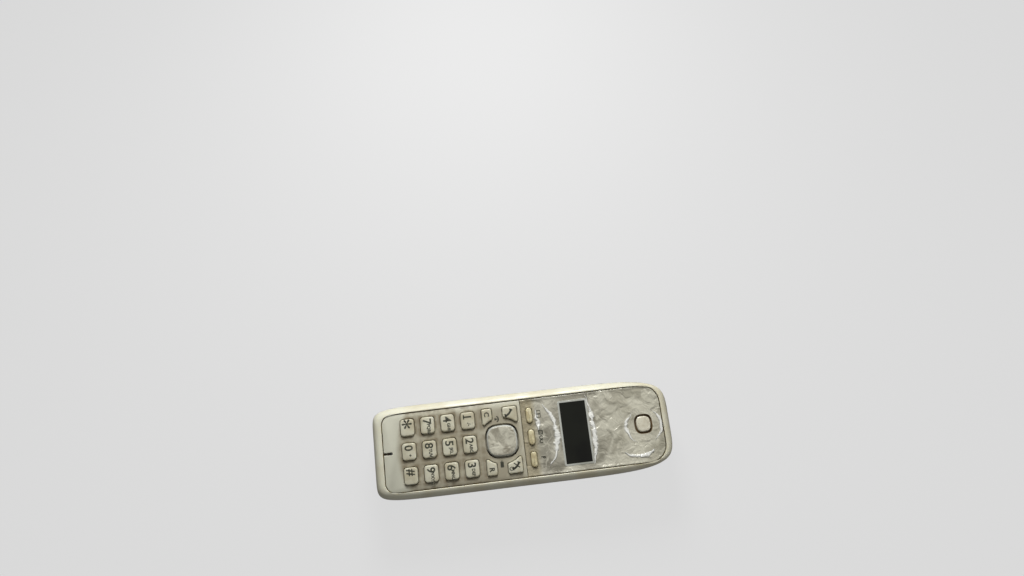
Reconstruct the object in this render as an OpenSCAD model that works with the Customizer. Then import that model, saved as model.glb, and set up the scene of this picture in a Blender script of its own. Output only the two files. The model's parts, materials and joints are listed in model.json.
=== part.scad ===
// Cordless phone handset, lying on its back.
// +X points to the earpiece end, +Y to the user's left of the face, +Z out of the face.
// The origin is the middle of the footprint, on the surface that the back rests on. Millimetres.

/* [Body] */
// Length of the body from the microphone end to the earpiece end
body_l = 155; // [150:1:195]
// Width of the body at its widest
body_w = 47.7; // [46:0.1:60]
// Height of the rim's top above the flat of the back
body_h = 27; // [26:0.1:34]
// Thickness of the case walls
wall = 2; // [1.5:0.1:2.4]
// Height of the seam between the front and the rear case
split_z = 15; // [14:0.1:16]
// Squareness of the microphone end, as a superellipse exponent
mic_square = 11; // [8:0.5:14]
// Squareness of the earpiece end, as a superellipse exponent
ear_square = 5.5; // [4.5:0.1:7]
// Width of the shallow recess across the microphone end
end_recess_w = 17; // [12:0.5:22]

/* [Face panels] */
// Rim between the side of the body and the panels
rim_side = 4.35; // [4:0.05:5.5]
// Rim at the microphone end
rim_mic = 5.7; // [5:0.1:7]
// Rim at the earpiece end
rim_ear = 4.7; // [4.5:0.1:6]
// Groove around the panels
groove = 0.25; // [0.15:0.05:0.4]
// Depth of the panels' faces below the rim's top
panel_drop = 0.4; // [0:0.1:0.8]
// Thickness of the panels
panel_t = 1.6; // [1.4:0.1:1.8]
// Thickness of the deck that carries the panels
deck_t = 1.4; // [1:0.1:1.6]
// Corner radius of the panels at the microphone end
panel_r_mic = 5; // [4:0.5:7]
// Corner radius of the panels at the earpiece end
panel_r_ear = 9; // [7:0.5:11]
// Length of the keypad panel, up to the seam with the display panel
keypad_l = 72.2; // [72:0.1:76]
// Gap between the two panels
seam = 0.2; // [0.1:0.05:0.4]

/* [Dial keys] */
// Length of a dial key along the body
dial_l = 7.1; // [5.5:0.1:7.6]
// Width of a dial key across the body
dial_w = 8.6; // [7:0.1:9.4]
// Corner radius of a dial key
dial_r = 1.6; // [0.8:0.1:2.4]
// Distance between rows of dial keys
row_pitch = 10.45; // [10:0.05:10.6]
// Distance between columns of dial keys
column_pitch = 12.15; // [11.6:0.05:12.4]
// Distance from the panel's edge to the middle of the last row
last_row = 13.1; // [13:0.1:14]

/* [Function keys] */
// How far the keys stand above the panels
key_proud = 1.3; // [0.6:0.1:1.8]
// Travel of a key
key_travel = 0.8; // [0.4:0.1:0.9]
// Thickness of a key's flange
flange_t = 0.9; // [0.7:0.1:1]
// Overhang of a key's flange
flange_lip = 0.8; // [0.5:0.1:0.8]
// Length of the clear and recall keys along the body
clear_l = 5.2; // [4.4:0.1:5.4]
// Length of the talk and off keys along the body
talk_l = 7.5; // [6.2:0.1:7.6]
// Outer edge of the function keys from the middle line
function_edge = 16.9; // [16:0.1:17]
// Gap between the function keys of one side
function_gap = 5.6; // [5:0.1:6]
// Length of a soft key along the body
soft_l = 3.1; // [2.6:0.1:3.4]
// Width of a soft key across the body
soft_w = 7.8; // [6.4:0.1:9]
// Distance between the soft keys
soft_pitch = 11.2; // [11:0.1:11.8]

/* [Navigator] */
// Size of the navigator key across its flats
nav_d = 15.7; // [13:0.1:16]
// Gap around the navigator key
nav_gap = 0.75; // [0.6:0.05:0.9]
// Distance from the navigator's middle to the seam
nav_from_seam = 11.1; // [11:0.1:11.8]
// Radius of the clear band that the function keys leave around the navigator
nav_band_r = 11.8; // [11.6:0.1:12.2]
// Radius of the navigator's flange
nav_flange_r = 9; // [8.8:0.1:9.1]

/* [Display and sound] */
// Length of the display window along the body
window_l = 13.4; // [11:0.1:16]
// Width of the display window across the body
window_w = 31.2; // [26:0.1:31.6]
// Distance from the seam to the display window
window_from_seam = 20.5; // [19:0.1:22]
// Distance from the body's end to the middle of the earpiece
ear_from_end = 14.5; // [14:0.1:15.5]
// Length of the earpiece cap inside its slot
ear_cap_l = 7.2; // [6:0.1:7.6]
// Width of the earpiece cap inside its slot
ear_cap_w = 7.9; // [6.4:0.1:8]
// Width of the earpiece's sound slot
ear_slot = 0.9; // [0.6:0.1:1]
// Radius of the earpiece speaker
ear_speaker_r = 7.6; // [7.2:0.1:8]
// Radius of the ringer speaker
ringer_r = 9; // [7.5:0.1:10.8]

/* [Battery] */
// Length of a cell over its button
cell_l = 44.5; // [37:0.1:54]
// Radius of a cell
cell_r = 5.25; // [4.3:0.05:6.3]
// Length of a compressed contact spring
spring_l = 4.2; // [3.5:0.1:5]
// Thickness of the contact plates
plate_t = 0.4; // [0.3:0.05:0.5]
// Thickness of the battery cover
cover_t = 1.6; // [1.3:0.1:1.8]
// Height of the seam between the battery cover and the rear case
cover_z = 5; // [4.9:0.1:5.6]

/* [Fits] */
// Gap around a key in its hole
key_gap = 0.3; // [0.2:0.05:0.35]
// Gap between pieces that slide past each other
slide_gap = 0.35; // [0.3:0.05:0.4]
// Gap between a case screw and its hole
screw_gap = 0.05; // [0.02:0.01:0.1]

/* [Hidden] */
half_l = body_l / 2;
half_w = body_w / 2;
fine = 48;
tiny = 0.01;
over = 5;

// Heights, worked down from the face
face_z = body_h - panel_drop;
panel_z = face_z - panel_t;
deck_z = panel_z - deck_t;
key_top = face_z + key_proud;
flange_z = panel_z - 0.3 - flange_t;
board_top = flange_z - 3.1;
board_t = 1;
sheet_t = 0.9;
sheet_z = board_top + sheet_t;
nav_flange_top = flange_z + 0.1;
nav_flange_z = nav_flange_top - 0.8;
rocker_top = nav_flange_z - 0.3;
rocker_t = 0.8;

// Plan of the panels
panel_x0 = -half_l + rim_mic;
panel_x1 = half_l - rim_ear;
panel_y = half_w - rim_side;
seam_x = panel_x0 + keypad_l;
ledge = 1.3;
well_y = panel_y - ledge;
well_x0 = panel_x0 + last_row - dial_l / 2 - flange_lip - 0.45;
bar_x0 = seam_x - 0.7;
bar_x1 = seam_x + 1.3;
nav_x = seam_x - nav_from_seam;
soft_x = seam_x + 4.2;
window_x0 = seam_x + window_from_seam;
window_x1 = window_x0 + window_l;
lens_t = 1;
lens_lip = 0.7;
glass_margin = 0.8;
glass_x = [window_x0 - glass_margin, window_x1 + glass_margin];
glass_y = [-window_w / 2 - lens_lip, window_w / 2 + lens_lip];
glass_z = [board_top + 1.4, panel_z - 0.8];
holder_wall = 1.1;
ear_x = half_l - ear_from_end;
mic_x = panel_x0 + 4.4;
mic_r = 2;
mic_boot_r = 2.8;

// Battery bay, rails and cover
bay_x0 = -half_l + 17;
bay_x1 = bay_x0 + 2 * plate_t + spring_l + cell_l;
rib_t = 1.2;
cell_y = cell_r + rib_t / 2;
plate_w = 2 * (cell_r - 1.05);
tab_w = 3;
bay_y = cell_y + cell_r + 0.4;
cell_z = cover_t + 1.35 + cell_r;
bay_top = cell_z + cell_r + 0.15;
cover_gap = 0.15;
shelf_z = cover_z + cover_gap;
shelf_t = 1.4;
cover_x = bay_x1 + 12.6;
tongue_l = 3;
tongue_w = 16;
tongue_t = 0.8;
tongue_z = cover_t + 0.2;
rail_y = half_w - 6.85;
rail_lip = 1.2;
rail_z = 2.6;
rail_t = 0.8;
hook_l = 8;
hook_y = rail_y - 2.8;

// Boards, speakers and screws
board_z = board_top - board_t;
board_x0 = panel_x0 + 1.8;
board_x1 = half_l - 29.5;
board_y = half_w - 6.35;
ringer_x = window_x0 + 7.1;
ringer_z = wall + 0.8;
ringer_h = 4.5;
ear_plate_z = panel_z - 0.8;
ear_gasket_z = ear_plate_z - 0.8;
ear_speaker_z = ear_gasket_z - 3.5;
head_z = 7.4;
head_h = 1.6;
head_r = 2.6;
shank_r = 1.25;
boss_z = head_z + head_h + 1.4;
boss_r = 3;
bay_screw_x = -half_l + 10.5;
bay_screw_y = 8;
ear_screw_x = half_l - 25.5;
ear_screw_y = 11.5;
// Each case screw's place, with the height where its well starts
case_screw_at = [
    for (s = [-1, 1]) each [
        [bay_screw_x, s * bay_screw_y, shelf_z],
        [ear_screw_x, s * ear_screw_y, wall / 2],
    ],
];
board_screw_at = [for (s = [-1, 1]) [window_x1 + 6.7, s * (board_y - 3)]];
board_post_r = 2.2;
board_shank_r = 0.8;
contact_y = 13;
contact_w = 5;
contact_x = -half_l + 1.6;
contact_z = [6.6, 12];

// Names and places of the keys: columns run from +Y to -Y, rows from the microphone end up
dial_names = [
    ["key_star", "key_0", "key_hash"],
    ["key_7", "key_8", "key_9"],
    ["key_4", "key_5", "key_6"],
    ["key_1", "key_2", "key_3"],
];
soft_names = ["soft_key_left", "soft_key_middle", "soft_key_right"];
function dial_at(row, column) =
    [panel_x0 + last_row + row * row_pitch, (1 - column) * column_pitch];
function soft_at(i) = [soft_x, (1 - i) * soft_pitch];
clear_x1 = nav_x - 4;
clear_x0 = clear_x1 - clear_l;
talk_x0 = clear_x1 + function_gap;
talk_x1 = talk_x0 + talk_l;
function_dome_y = 13.6;
key_domes = [
    for (row = [0:3], column = [0:2]) dial_at(row, column),
    for (i = [0:2]) soft_at(i),
    for (s = [-1, 1]) each [
        [(clear_x0 + clear_x1) / 2, s * function_dome_y],
        [(talk_x0 + talk_x1) / 2, s * function_dome_y],
    ],
];
nav_dome_at = 6.2;
nav_domes = [for (a = [0:90:270]) [nav_x + nav_dome_at * cos(a), nav_dome_at * sin(a)]];

// How far the outside lies inside the widest outline, by height: sides, microphone end, earpiece end
side_inset = [[0, 6], [0.8, 3.6], [2.2, 2.2], [5, 1.3], [9, 0.7], [split_z, 0.35],
              [body_h - 7, 0], [body_h - 4, 0.25], [body_h - 2.2, 0.9], [body_h - 1, 1.8],
              [body_h - 0.3, 2.8], [body_h, 3.6]];
mic_inset = [[0, 8], [0.8, 5.4], [2.2, 3.6], [5, 2.2], [9, 1.1], [split_z, 0.35],
             [body_h - 7, 0], [body_h - 4, 0.25], [body_h - 2.2, 0.9], [body_h - 1, 1.8],
             [body_h - 0.3, 2.8], [body_h, 3.6]];
ear_inset = [[0, 18], [0.8, 14], [2.2, 11], [5, 7.5], [9, 4], [split_z, 0.6],
             [body_h - 7, 0], [body_h - 4, 0.25], [body_h - 2.2, 0.9], [body_h - 1, 1.8],
             [body_h - 0.3, 2.8], [body_h, 3.6]];
// Squareness of the earpiece end by height: the rim follows the display panel's corners
ear_squareness = [[body_h - 4, ear_square], [body_h - 2.2, ear_square + 0.6],
                  [body_h - 1, ear_square + 1.5], [body_h - 0.3, ear_square + 2.3],
                  [body_h, ear_square + 2.8]];
back_z = [0, 0.8, 2.2, 5, 9, split_z];
front_z = [split_z, body_h - 7, body_h - 4, body_h - 2.2, body_h - 1, body_h - 0.3, body_h];
cover_levels = [0, 0.8, 2.2, cover_z - cover_gap];

// ---- Shapes that repeat ----

function superpoint(a, n) =
    [sign(cos(a)) * pow(abs(cos(a)), 2 / n), sign(sin(a)) * pow(abs(sin(a)), 2 / n)];

// The body's outline at a height, drawn in by a wall
function outline(z, inset) = [
    for (a = [0:5:355])
        let (to_mic = cos(a) < 0)
        let (p = superpoint(a, to_mic ? mic_square : lookup(z, ear_squareness)))
        let (x = half_l - inset - lookup(z, to_mic ? mic_inset : ear_inset))
        let (y = half_w - inset - lookup(z, side_inset))
        [p.x * x, p.y * y]
];

// A solid through one outline for each height; each level is [height, outline]
module loft(levels) {
    count = len(levels[0][1]);
    last = len(levels) - 1;
    points = [for (level = levels, p = level[1]) [p.x, p.y, level[0]]];
    sides = [for (k = [0:last - 1], i = [0:count - 1])
        let (j = (i + 1) % count)
        [k * count + i, (k + 1) * count + i, (k + 1) * count + j, k * count + j]];
    polyhedron(
        points,
        concat([[for (i = [0:count - 1]) i]], sides, [[for (i = [count - 1:-1:0]) last * count + i]])
    );
}

module body_loft(heights, inset = 0) {
    loft([for (z = heights) [z, outline(z, inset)]]);
}

// The hollow inside a shell whose floor is floor_t thick and whose mouth is at top
module hollow_loft(heights, thickness, floor_t, top) {
    last = heights[len(heights) - 1];
    loft([for (z = heights)
        [floor_t + z * (top - floor_t) / last + (z == last ? tiny : 0), outline(z, thickness)]]);
}

// A box given by its limits along each axis
module block(x, y, z) {
    translate([x[0], y[0], z[0]]) cube([x[1] - x[0], y[1] - y[0], z[1] - z[0]]);
}

module disc(x, y, z, r) {
    translate([x, y, z[0]]) cylinder(r = r, h = z[1] - z[0], $fn = fine);
}

module ring(x, y, z, outer, inner) {
    difference() {
        disc(x, y, z, outer);
        disc(x, y, [z[0] - 1, z[1] + 1], inner);
    }
}

module rounded(length, width, r) {
    hull() for (sx = [-1, 1], sy = [-1, 1])
        translate([sx * (length / 2 - r), sy * (width / 2 - r)]) circle(r, $fn = 24);
}

module squircle(length, width) {
    polygon([for (a = [0:7.5:352.5]) let (p = superpoint(a, 3)) [p.x * length / 2, p.y * width / 2]]);
}

module slab(z) {
    translate([0, 0, z[0]]) linear_extrude(z[1] - z[0]) children();
}

// A wire through the given points
module lead(points, r) {
    for (i = [1:len(points) - 1]) {
        run = points[i] - points[i - 1];
        translate(points[i - 1])
            rotate([0, acos(run.z / norm(run)), atan2(run.y, run.x)])
                cylinder(r = r, h = norm(run), $fn = 24);
    }
    for (i = [1:1:len(points) - 2]) translate(points[i]) sphere(r, $fn = 24);
}

// ---- Case ----

module panel_outline(grow = 0) {
    hull() for (s = [-1, 1]) {
        translate([panel_x0 + panel_r_mic, s * (panel_y - panel_r_mic)])
            circle(panel_r_mic + grow, $fn = fine);
        translate([panel_x1 - panel_r_ear, s * (panel_y - panel_r_ear)])
            circle(panel_r_ear + grow, $fn = fine);
    }
}

// The shallow recess across the microphone end, cut from every case piece that it crosses
module end_recess() {
    recess_depth = 0.5;
    block(
        [-half_l - over, -half_l + recess_depth],
        [-end_recess_w / 2, end_recess_w / 2],
        [cover_z, body_h - 4]
    );
}

module front_case() color("ivory") {
    difference() {
        body_loft(front_z);
        slab([split_z - 1, deck_z]) polygon(outline(body_h - 4, wall));
        slab([panel_z, body_h + 1]) panel_outline(groove);
        block([well_x0, bar_x0], [-well_y, well_y], [deck_z - 1, panel_z + 1]);
        block([bar_x1, window_x1 + 2.2], [-well_y, well_y], [deck_z - 1, panel_z + 1]);
        disc(ear_x, 0, [deck_z - 1, panel_z + 1], ear_speaker_r - 0.6);
        disc(mic_x, 0, [deck_z - 1, panel_z + 1], mic_boot_r + 0.2);
        end_recess();
    }
    for (p = case_screw_at) difference() {
        disc(p.x, p.y, [boss_z, deck_z + tiny], boss_r);
        disc(p.x, p.y, [boss_z - 1, deck_z - 1], shank_r + screw_gap);
    }
    for (p = board_screw_at) difference() {
        disc(p.x, p.y, [board_top, deck_z + tiny], board_post_r);
        disc(p.x, p.y, [board_top - 1, deck_z - 0.4], board_shank_r + screw_gap);
    }
    ring(ear_x, 0, [ear_speaker_z, deck_z + tiny], ear_speaker_r + 1.4, ear_speaker_r + 0.2);
}

module grille_holes() {
    hole_pitch = 2.6;
    disc(ringer_x, 0, [-1, wall + 1], 0.7);
    for (k = [1:2], i = [0:6 * k - 1])
        translate(k * hole_pitch * [cos(60 * i / k), sin(60 * i / k)])
            disc(ringer_x, 0, [-1, wall + 1], 0.7);
}

module rear_bay() {
    difference() {
        slab([shelf_z, shelf_z + shelf_t]) polygon(outline(shelf_z, wall / 2));
        block([cover_x + 1, half_l], [-half_w, half_w], [0, split_z]);
        block([bay_x0, bay_x1], [-bay_y, bay_y], [0, split_z]);
        for (p = case_screw_at) disc(p.x, p.y, [0, split_z], head_r + 0.4);
    }
    difference() {
        block(
            [bay_x0 - rib_t, bay_x1 + rib_t],
            [-bay_y - rib_t, bay_y + rib_t],
            [shelf_z, bay_top + rib_t]
        );
        block([bay_x0, bay_x1], [-bay_y, bay_y], [0, bay_top]);
        for (s = [-1, 1], x = [bay_x0, bay_x1 - plate_t])
            block(
                [x - 0.1, x + plate_t + 0.1],
                [s * cell_y - tab_w / 2 - 0.1, s * cell_y + tab_w / 2 + 0.1],
                [bay_top - 1, split_z + over]
            );
    }
    block([bay_x0 + 8, bay_x1 - 8], [-rib_t / 4, rib_t / 4], [shelf_z + 2, bay_top + tiny]);
}

// The room that the cover's tongue slides into
module tongue_slot(x, z) {
    block(x, [-tongue_w / 2 - slide_gap, tongue_w / 2 + slide_gap], z);
}

// The rails that the cover's hooks run in
module cover_rails() {
    for (s = [0, 1]) mirror([0, s, 0]) {
        block([bay_x0 - 2, cover_x - 4], [rail_y, rail_y + 1], [rail_z, shelf_z + tiny]);
        block([bay_x0 - 2, cover_x - 4], [rail_y - rail_lip, rail_y + tiny], [rail_z, rail_z + rail_t]);
    }
}

module rear_case() color("ivory") {
    difference() {
        body_loft(back_z);
        hollow_loft(back_z, wall, wall, split_z);
        block([-half_l - over, cover_x], [-half_w - over, half_w + over], [-over, shelf_z]);
        tongue_slot([cover_x - 1, cover_x + tongue_l + 1], [tongue_z - slide_gap, wall + 1]);
        for (p = case_screw_at) disc(p.x, p.y, [-1, head_z + head_h], head_r + 0.4);
        for (s = [-1, 1]) {
            y = [s * contact_y - contact_w / 2 - 0.1, s * contact_y + contact_w / 2 + 0.1];
            block([-half_l - over, contact_x + plate_t], y, [contact_z[0] - 0.1, contact_z[1] + 0.1]);
            block([-half_l, -half_l + 6], y, [contact_z[1] - plate_t - 0.1, contact_z[1] + 0.1]);
        }
        grille_holes();
        end_recess();
    }
    rear_bay();
    cover_rails();
    // Bulkhead between the battery bay and the rest of the case, open where the tongue passes
    difference() {
        block([cover_x, cover_x + 1.2], [-half_w + 5, half_w - 5], [1, shelf_z + shelf_t]);
        tongue_slot(
            [cover_x - 1, cover_x + tongue_l],
            [tongue_z - slide_gap, tongue_z + tongue_t + slide_gap]
        );
    }
    for (p = case_screw_at) difference() {
        disc(p.x, p.y, [p.z, boss_z], head_r + 1.6);
        disc(p.x, p.y, [-1, head_z + head_h], head_r + 0.4);
        disc(p.x, p.y, [-1, boss_z + 1], shank_r + 0.3);
    }
    ring(ringer_x, 0, [wall - 0.5, ringer_z + 3.5], ringer_r + 1.3, ringer_r + 0.3);
}

module battery_cover() color("ivory") {
    edge_x = cover_x - 0.2;
    difference() {
        body_loft(cover_levels);
        hollow_loft(cover_levels, cover_t, cover_t, cover_z - cover_gap);
        block([edge_x, half_l + over], [-half_w, half_w], [-1, cover_z + 1]);
        // Finger ridges
        for (i = [0:3])
            block([edge_x - 14 + 2.4 * i, edge_x - 12.8 + 2.4 * i], [-7, 7], [-1, 0.4]);
    }
    for (s = [0, 1]) mirror([0, s, 0])
        for (x = [bay_x0, (bay_x0 + bay_x1 - hook_l) / 2, bay_x1 - hook_l]) {
            block([x, x + hook_l], [hook_y, hook_y + 1], [cover_t - tiny, shelf_z - 0.5]);
            block(
                [x, x + hook_l],
                [hook_y, rail_y - slide_gap],
                [rail_z + rail_t + slide_gap, shelf_z - 0.5]
            );
        }
    block([edge_x - 4, edge_x - 0.5], [-tongue_w / 2, tongue_w / 2], [cover_t - tiny, tongue_z + tongue_t]);
    block([edge_x - 1, cover_x + tongue_l], [-tongue_w / 2, tongue_w / 2], [tongue_z, tongue_z + tongue_t]);
}

// ---- Face panels ----

// Heights that pass right through a panel
through = [panel_z - 1, face_z + 1];

module keypad_panel() color("tan") {
    difference() {
        slab([panel_z, face_z]) panel_outline();
        block([seam_x - seam / 2, half_l], [-half_w, half_w], [panel_z - 1, face_z + 1]);
        for (row = [0:3], column = [0:2]) translate(dial_at(row, column))
            slab(through) rounded(dial_l + 2 * key_gap, dial_w + 2 * key_gap, dial_r + key_gap);
        for (s = [0, 1]) mirror([0, s, 0]) {
            slab(through) offset(key_gap, $fn = 24) function_key_outline(clear_x0, clear_x1);
            slab(through) offset(key_gap, $fn = 24) function_key_outline(talk_x0, talk_x1);
        }
        translate([nav_x, 0]) slab(through) squircle(nav_d + 2 * nav_gap, nav_d + 2 * nav_gap);
        block([panel_x0 - 1, mic_x], [-0.5, 0.5], [face_z - 0.8, face_z + 1]);
        disc(mic_x - 0.8, 0, [panel_z - 1, face_z + 1], 0.9);
    }
}

module display_panel() color("silver") {
    difference() {
        slab([panel_z, face_z]) panel_outline();
        block([-half_l, seam_x + seam / 2], [-half_w, half_w], [panel_z - 1, face_z + 1]);
        block([seam_x, soft_x + 3.2], [-well_y + 0.7, well_y - 0.7], [face_z - 0.25, face_z + 1]);
        for (i = [0:2]) translate(soft_at(i))
            slab([panel_z - 1, face_z + 1]) rounded(soft_l + 2 * key_gap, soft_w + 2 * key_gap, soft_l / 2);
        block([window_x0, window_x1], [-window_w / 2, window_w / 2], [face_z - lens_t, face_z + 1]);
        window_opening([panel_z - 1, face_z]);
        translate([ear_x, 0])
            slab(through) squircle(ear_cap_l + 2 * ear_slot, ear_cap_w + 2 * ear_slot);
    }
}

module display_lens() color("black") {
    block([window_x0, window_x1], [-window_w / 2, window_w / 2], [face_z - lens_t, face_z]);
}

// The clear opening behind the lens, inside the lip that carries it
module window_opening(z) {
    half = window_w / 2 - lens_lip;
    block([window_x0 + lens_lip, window_x1 - lens_lip], [-half, half], z);
}

// ---- Keys ----

// A key of the shape given in 2D, with a flange under the panel
module key(top = key_top) {
    slab([flange_z, top - 0.3]) children();
    slab([top - 0.3 - tiny, top]) offset(delta = -0.3) children();
    slab([flange_z, flange_z + flange_t]) offset(flange_lip, $fn = 24) children();
}

module dial_key(row, column) color("ivory") {
    translate(dial_at(row, column)) key() rounded(dial_l, dial_w, dial_r);
}

// A key beside the navigator: a rectangle with a bite that follows the navigator
module function_key_outline(x0, x1) {
    offset(0.9, $fn = 24) offset(delta = -0.9) difference() {
        translate([x0, 1]) square([x1 - x0, function_edge - 1]);
        translate([nav_x, 0]) circle(nav_band_r, $fn = 96);
    }
}

module function_key(x0, x1, side) color("ivory") {
    mirror([0, side, 0]) key() function_key_outline(x0, x1);
}

module soft_key(i) color("cornsilk") {
    translate(soft_at(i)) key(face_z + 0.9) rounded(soft_l, soft_w, soft_l / 2 - tiny);
}

module navigator_key() color("silver") {
    translate([nav_x, 0]) {
        slab([nav_flange_z, key_top - 0.4]) squircle(nav_d, nav_d);
        slab([key_top - 0.4 - tiny, key_top]) squircle(nav_d - 2, nav_d - 2);
        slab([nav_flange_z, nav_flange_top]) circle(nav_flange_r, $fn = fine);
    }
}

module navigator_rocker() color("dimgray") {
    disc(nav_x, 0, [rocker_top - rocker_t, rocker_top], 3.2);
}

// One rubber dome from the sheet up to the underside of its key
module dome(p, top) {
    translate([p.x, p.y, sheet_z - tiny])
        cylinder(r1 = 2.4, r2 = 1.4, h = top - sheet_z + tiny, $fn = fine);
}

module dome_hollow(p, top) {
    disc(p.x, p.y, [board_top - 1, top - 0.9], 1.5);
}

module keypad_membrane() color("lightgray") {
    difference() {
        union() {
            block([well_x0 + 0.1, soft_x + 3], [-board_y + 0.1, board_y - 0.1], [board_top, sheet_z]);
            for (p = key_domes) dome(p, flange_z);
            for (p = nav_domes) dome(p, nav_flange_z);
        }
        for (p = key_domes) dome_hollow(p, flange_z);
        for (p = nav_domes) dome_hollow(p, nav_flange_z);
    }
}

module key_contacts() color("gold") {
    for (p = concat(key_domes, nav_domes)) disc(p.x, p.y, [board_top, board_top + 0.15], 1.3);
}

// ---- Display, sound and radio ----

module lcd_holder() color("whitesmoke") {
    difference() {
        block(
            [glass_x[0] - holder_wall, glass_x[1] + holder_wall],
            [glass_y[0] - holder_wall, glass_y[1] + holder_wall],
            [board_top, panel_z - 0.4]
        );
        block(glass_x, glass_y, [glass_z[0], panel_z]);
    }
}

module lcd_module() color("darkslategray") {
    block(glass_x, glass_y, glass_z);
}

module lcd_gasket() color("dimgray") {
    difference() {
        block(glass_x, glass_y, [glass_z[1], panel_z]);
        window_opening([panel_z - 1, panel_z + 1]);
    }
}

module earpiece_cap() color("ivory") {
    difference() {
        disc(ear_x, 0, [ear_plate_z, panel_z], ear_speaker_r - 0.8);
        for (a = [22.5:45:337.5])
            disc(ear_x + 4.1 * cos(a), 4.3 * sin(a), [ear_plate_z - 1, panel_z + 1], 0.4);
    }
    translate([ear_x, 0]) slab([panel_z - tiny, face_z + 0.3]) squircle(ear_cap_l, ear_cap_w);
}

module earpiece_gasket() color("dimgray") {
    ring(ear_x, 0, [ear_gasket_z, ear_plate_z], ear_speaker_r - 0.8, 4.8);
}

module earpiece_speaker() color("silver") {
    disc(ear_x, 0, [ear_speaker_z + 1.5, ear_gasket_z], ear_speaker_r);
    disc(ear_x, 0, [ear_speaker_z, ear_speaker_z + 1.5 + tiny], ear_speaker_r - 2.2);
}

module earpiece_leads() color("firebrick") {
    below = ear_speaker_z - 1.2;
    for (s = [-1, 1])
        lead(
            [
                [ear_x - 4, s, ear_speaker_z],
                [ear_x - 4, s, below],
                [board_x1 - 2, s, below],
                [board_x1 - 2, s, board_z],
            ],
            0.4
        );
}

module microphone() color("silver") {
    disc(mic_x, 0, [board_top, panel_z - 0.7], mic_r);
}

module microphone_boot() color("dimgray") {
    difference() {
        disc(mic_x, 0, [board_top, panel_z], mic_boot_r);
        disc(mic_x, 0, [board_top - 1, panel_z - 0.7], mic_r);
        disc(mic_x, 0, [board_top, panel_z + 1], 1.4);
    }
}

module antenna() color("goldenrod") {
    x = [window_x1 + 9.2, window_x1 + 12.7];
    block(x, [-13, 13], [board_top + 1.5, board_top + 1.8]);
    for (y = [-13, -6]) block([x[0], x[0] + 0.3], [y, y + 1.2], [board_top, board_top + 1.6]);
}

module ringer_speaker() color("silver") {
    disc(ringer_x, 0, [ringer_z, ringer_z + 2], ringer_r);
    disc(ringer_x, 0, [ringer_z + 2 - tiny, ringer_z + ringer_h], ringer_r - 3);
}

module ringer_gasket() color("dimgray") {
    ring(ringer_x, 0, [wall, ringer_z], ringer_r, ringer_r - 2);
}

module ringer_leads() color("firebrick") {
    for (s = [-1, 1])
        lead([[ringer_x + 4, s, ringer_z + ringer_h], [ringer_x + 4, s, board_z]], 0.4);
}

// ---- Boards ----

module main_board() color("darkgreen") {
    difference() {
        block([board_x0, board_x1], [-board_y, board_y], [board_z, board_top]);
        for (p = case_screw_at) disc(p.x, p.y, [board_z - 1, board_top + 1], boss_r + 0.3);
        for (p = board_screw_at) disc(p.x, p.y, [board_z - 1, board_top + 1], board_shank_r + 0.2);
    }
}

module shield_can() color("lightsteelblue") {
    x = [seam_x + 6, window_x0 + 1];
    difference() {
        block(x, [-10, 10], [board_z - 2.8, board_z]);
        block([x[0] + 0.3, x[1] - 0.3], [-9.7, 9.7], [board_z - 2.5, board_z + 1]);
    }
}

module board_chips() color("black") {
    block([panel_x0 + 24, panel_x0 + 34], [-5, 5], [board_z - 1.4, board_z]);
    block([panel_x0 + 42, panel_x0 + 48], [-12, -4], [board_z - 1.2, board_z]);
    block([seam_x + 29, seam_x + 34], [-15, -9], [board_z - 1.2, board_z]);
}

// ---- Power ----

// A cell lies along X with its button towards +X
module cell() {
    button_h = 0.9;
    rotate([0, 90, 0]) {
        cylinder(r = cell_r, h = cell_l - button_h, $fn = fine);
        cylinder(r = 1.9, h = cell_l, $fn = fine);
    }
}

module battery_cell_1() color("seagreen") {
    translate([bay_x0 + plate_t + spring_l, cell_y, cell_z]) cell();
}

module battery_cell_2() color("seagreen") {
    translate([bay_x1 - plate_t - spring_l, -cell_y, cell_z]) mirror([1, 0, 0]) cell();
}

// A conical contact spring along X, wide at x = 0
module contact_spring() {
    turns = 4;
    steps = 14;
    around = 6;
    wire_r = 0.3;
    total = turns * steps;
    points = [for (k = [0:total], i = [0:around - 1])
        let (a = 360 * k / steps, b = 360 * i / around, t = k / total)
        let (r = 3.6 - 1.6 * t + wire_r * cos(b))
        [wire_r + t * (spring_l - 2 * wire_r) + wire_r * sin(b), r * cos(a), r * sin(a)]];
    sides = [for (k = [0:total - 1], i = [0:around - 1])
        let (j = (i + 1) % around)
        [k * around + i, k * around + j, (k + 1) * around + j, (k + 1) * around + i]];
    polyhedron(
        points,
        concat([[for (i = [around - 1:-1:0]) i]], sides, [[for (i = [0:around - 1]) total * around + i]])
    );
}

module battery_springs() color("silver") {
    translate([bay_x0 + plate_t, cell_y, cell_z]) contact_spring();
    translate([bay_x1 - plate_t, -cell_y, cell_z]) mirror([1, 0, 0]) contact_spring();
}

module battery_plates() color("silver") {
    for (s = [-1, 1], x = [bay_x0, bay_x1 - plate_t]) {
        block(
            [x, x + plate_t],
            [s * cell_y - plate_w / 2, s * cell_y + plate_w / 2],
            [cell_z - plate_w / 2, bay_top - 0.2]
        );
        block([x, x + plate_t], [s * cell_y - tab_w / 2, s * cell_y + tab_w / 2], [bay_top - 1, board_z]);
    }
}

module charge_contacts() color("goldenrod") {
    for (s = [-1, 1]) {
        y = [s * contact_y - contact_w / 2, s * contact_y + contact_w / 2];
        block([contact_x, contact_x + plate_t], y, contact_z);
        block([contact_x, board_x0 + 1], y, [contact_z[1] - plate_t, contact_z[1]]);
        block([board_x0 + 0.6, board_x0 + 1], [y[0] + 1, y[1] - 1], [contact_z[1] - plate_t, board_z]);
    }
}

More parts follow.
